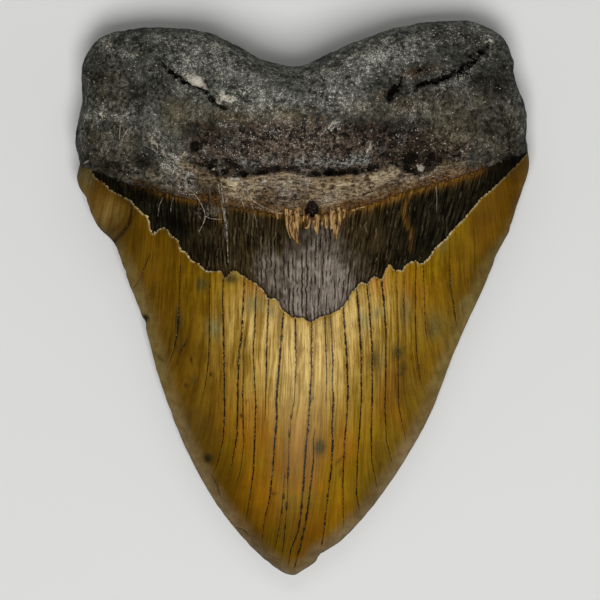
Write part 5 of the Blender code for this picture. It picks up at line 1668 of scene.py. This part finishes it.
def grain_share(surface):
    """How thickly grains lie at each point of the tooth: most on the dust, and none below."""
    count = len(surface.vertices)
    marks = {}
    for name in ("dust", "root_gap", "trough", "hollow", "rim_gap"):
        marks[name] = np.zeros(count, np.float32)
        surface.attributes[name].data.foreach_get("value", marks[name])
    places = np.zeros(3 * count, np.float32)
    surface.vertices.foreach_get("co", places)
    raised = step(GRAINS_FROM, GRAINS_FROM + 1, places[2::3] / MM)
    share = raised * step(0.5, 2.0, marks["root_gap"]) * step(1.0, 4.0, marks["rim_gap"])
    share *= GRAINS_ANYWHERE + marks["dust"] ** GRAINS_DUST_POWER + GRAINS_IN_TROUGH * marks["trough"]
    return share * (1 - np.minimum(marks["hollow"], 1))


def path_curve(name, paths, surface, lift):
    """Smooth paths laid on the tooth's surface, as curves with a width at each point."""
    curve = bpy.data.curves.new(name, "CURVE")
    curve.dimensions = "3D"
    for points, wide, thin in paths:
        line = smooth_line(points, PATH_STEPS)
        spline = curve.splines.new("POLY")
        spline.points.add(len(line) - 1)
        for i, (point, (x, y)) in enumerate(zip(spline.points, line)):
            along = i / (len(line) - 1)
            wavy = 0.85 + 0.3 * noise.noise((x * STRAND_WAVES, y * STRAND_WAVES, 7))
            width = (wide + (thin - wide) * along) * wavy
            z = surface_height(surface, x, y) / MM + lift * width
            point.co = (x * MM, y * MM, z * MM, 1)
            point.radius = max(width, STRAND_THINNEST) * MM
    return curve


def surface_height(surface, x, y):
    """Height of the tooth's upper face in metres, over a place in millimetres."""
    hit = surface.ray_cast(Vector((x * MM, y * MM, 1)), Vector((0, 0, -1)))
    return hit[0].z


# The stage, in metres
FLOOR_HALF = 3.0
FLOOR_DROP = 0.05 * MM
FLOOR_ROUGHNESS = 0.9
FLOOR_SHEEN = 0.1
LIGHTS = [  # name, place, half width and half height in metres, and power in watts
    ("key", (0.03, -0.42, 1.15), 0.30, 0.30, 14.5),
    ("left_strip", (-0.75, 0.0, 0.30), 0.50, 0.10, 0.5),
    ("right_strip", (0.75, -0.05, 0.30), 0.50, 0.10, 0.7),
    ("root_strip", (0.0, 0.70, 0.60), 0.50, 0.10, 1.8),
]
AIM = (0.0, 0.0, 0.010)
WORLD_LIGHT = 0.10
VIEW_CENTRE = (-0.52 * MM, -0.13 * MM)
RIM_LEVEL = 8.0 * MM
SENSOR = 36.0  # in millimetres


def make_floor(settings):
    """A plain pale floor just below the tooth."""
    corners = [(FLOOR_HALF * x, FLOOR_HALF * y, -FLOOR_DROP) for x, y in ((-1, -1), (1, -1), (1, 1), (-1, 1))]
    mesh = bpy.data.meshes.new("floor")
    mesh.from_pydata(corners, [], [(0, 1, 2, 3)])
    floor = new_object("floor", mesh)
    f = Finish("floor")
    shader = f.node("ShaderNodeBsdfPrincipled", values={
        "Base Color": (*settings.floor_colour, 1), "Roughness": FLOOR_ROUGHNESS,
        "Specular IOR Level": FLOOR_SHEEN,
    })
    f.node("ShaderNodeOutputMaterial", values={0: shader})
    mesh.materials.append(f.material)


def make_lights():
    """A soft key light from the tip's side, weak lights all round, and a faint white surround."""
    for name, place, half_width, half_height, power in LIGHTS:
        light = bpy.data.lights.new(name, "AREA")
        light.shape = "RECTANGLE"
        light.size = 2 * half_width
        light.size_y = 2 * half_height
        light.energy = power
        lamp = new_object(name, light)
        lamp.location = place
        lamp.rotation_euler = (Vector(AIM) - Vector(place)).to_track_quat("-Z", "Y").to_euler()
    world = bpy.data.worlds.new("studio")
    world.use_nodes = True
    backdrop = world.node_tree.nodes["Background"]
    backdrop.inputs["Color"].default_value = (1, 1, 1, 1)
    backdrop.inputs["Strength"].default_value = WORLD_LIGHT
    bpy.context.scene.world = world
    bpy.context.scene.view_settings.view_transform = "Standard"


def make_camera(settings):
    """A camera that looks straight down on the tooth."""
    data = bpy.data.cameras.new("camera")
    data.sensor_width = SENSOR
    data.lens = SENSOR * settings.camera_height / settings.view_width
    camera = new_object("camera", data)
    camera.location = (*VIEW_CENTRE, settings.camera_height + RIM_LEVEL)
    bpy.context.scene.camera = camera


class TOOTH_OT_body(bpy.types.Operator):
    """Make the tooth itself: root, dark band and enamel crown in one piece"""

    bl_idname = "tooth.body"
    bl_label = "Tooth"

    def execute(self, context):
        tooth = new_object("fossil_tooth", tooth_mesh())
        tooth.data.materials.append(tooth_finish(context.scene.tooth_settings))
        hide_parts("tooth")
        hand_over(tooth)
        return {"FINISHED"}


class TOOTH_OT_strands(bpy.types.Operator):
    """Lay the brown splinters and the dried threads on the tooth"""

    bl_idname = "tooth.strands"
    bl_label = "Splinters and threads"

    def execute(self, context):
        depsgraph = context.evaluated_depsgraph_get()
        surface = BVHTree.FromObject(bpy.data.objects["fossil_tooth"], depsgraph)
        recipe = strand_recipe()
        for name, (paths, lift, flatness, mottling) in STRANDS.items():
            finish = plain_finish(name, mottling, STRAND_ROUGHNESS)
            curve = path_curve(name, paths, surface, lift)
            hand_over(recipe.apply(name, curve, {"Flatness": flatness, "Material": finish}))
        return {"FINISHED"}


class TOOTH_OT_grains(bpy.types.Operator):
    """Scatter pale mineral grains over the root"""

    bl_idname = "tooth.grains"
    bl_label = "Mineral grains"

    def execute(self, context):
        settings = context.scene.tooth_settings
        source = bpy.data.objects["fossil_tooth"].data.copy()
        grains = source.attributes.new("grains", "FLOAT", "POINT")
        grains.data.foreach_set("value", grain_share(source).astype(np.float32))
        values = {
            "Density": settings.grain_density * SQUARE_CENTIMETRES, "Size": settings.grain_size,
            "Material": plain_finish("mineral_grains", GRAIN_MOTTLING, GRAIN_ROUGHNESS),
        }
        hand_over(grain_recipe().apply("mineral_grains", source, values))
        return {"FINISHED"}


class TOOTH_OT_stage(bpy.types.Operator):
    """Set the floor, the lights and the camera"""

    bl_idname = "tooth.stage"
    bl_label = "Stage"

    def execute(self, context):
        make_floor(context.scene.stage_settings)
        make_lights()
        make_camera(context.scene.stage_settings)
        return {"FINISHED"}


class TOOTH_PT_panel(bpy.types.Panel):
    """Lists the pieces of the tooth"""

    bl_label = "Fossil Tooth"
    bl_idname = "TOOTH_PT_panel"
    bl_space_type = "VIEW_3D"
    bl_region_type = "UI"
    bl_category = "Tooth"

    def draw(self, context):
        for operator in OPERATORS:
            self.layout.operator(operator.bl_idname)
        for settings in (context.scene.tooth_settings, context.scene.stage_settings):
            for name in settings.__annotations__:
                self.layout.prop(settings, name)


OPERATORS = (TOOTH_OT_body, TOOTH_OT_strands, TOOTH_OT_grains, TOOTH_OT_stage)
CLASSES = (ToothSettings, StageSettings, *OPERATORS, TOOTH_PT_panel)


def register():
    for made in CLASSES:
        bpy.utils.register_class(made)
    bpy.types.Scene.tooth_settings = bpy.props.PointerProperty(type=ToothSettings)
    bpy.types.Scene.stage_settings = bpy.props.PointerProperty(type=StageSettings)


def unregister():
    del bpy.types.Scene.stage_settings
    del bpy.types.Scene.tooth_settings
    for made in reversed(CLASSES):
        bpy.utils.unregister_class(made)


def main():
    register()
    bpy.ops.tooth.body()
    bpy.ops.tooth.strands()
    bpy.ops.tooth.grains()
    bpy.ops.tooth.stage()


if __name__ == "__main__":
    main()
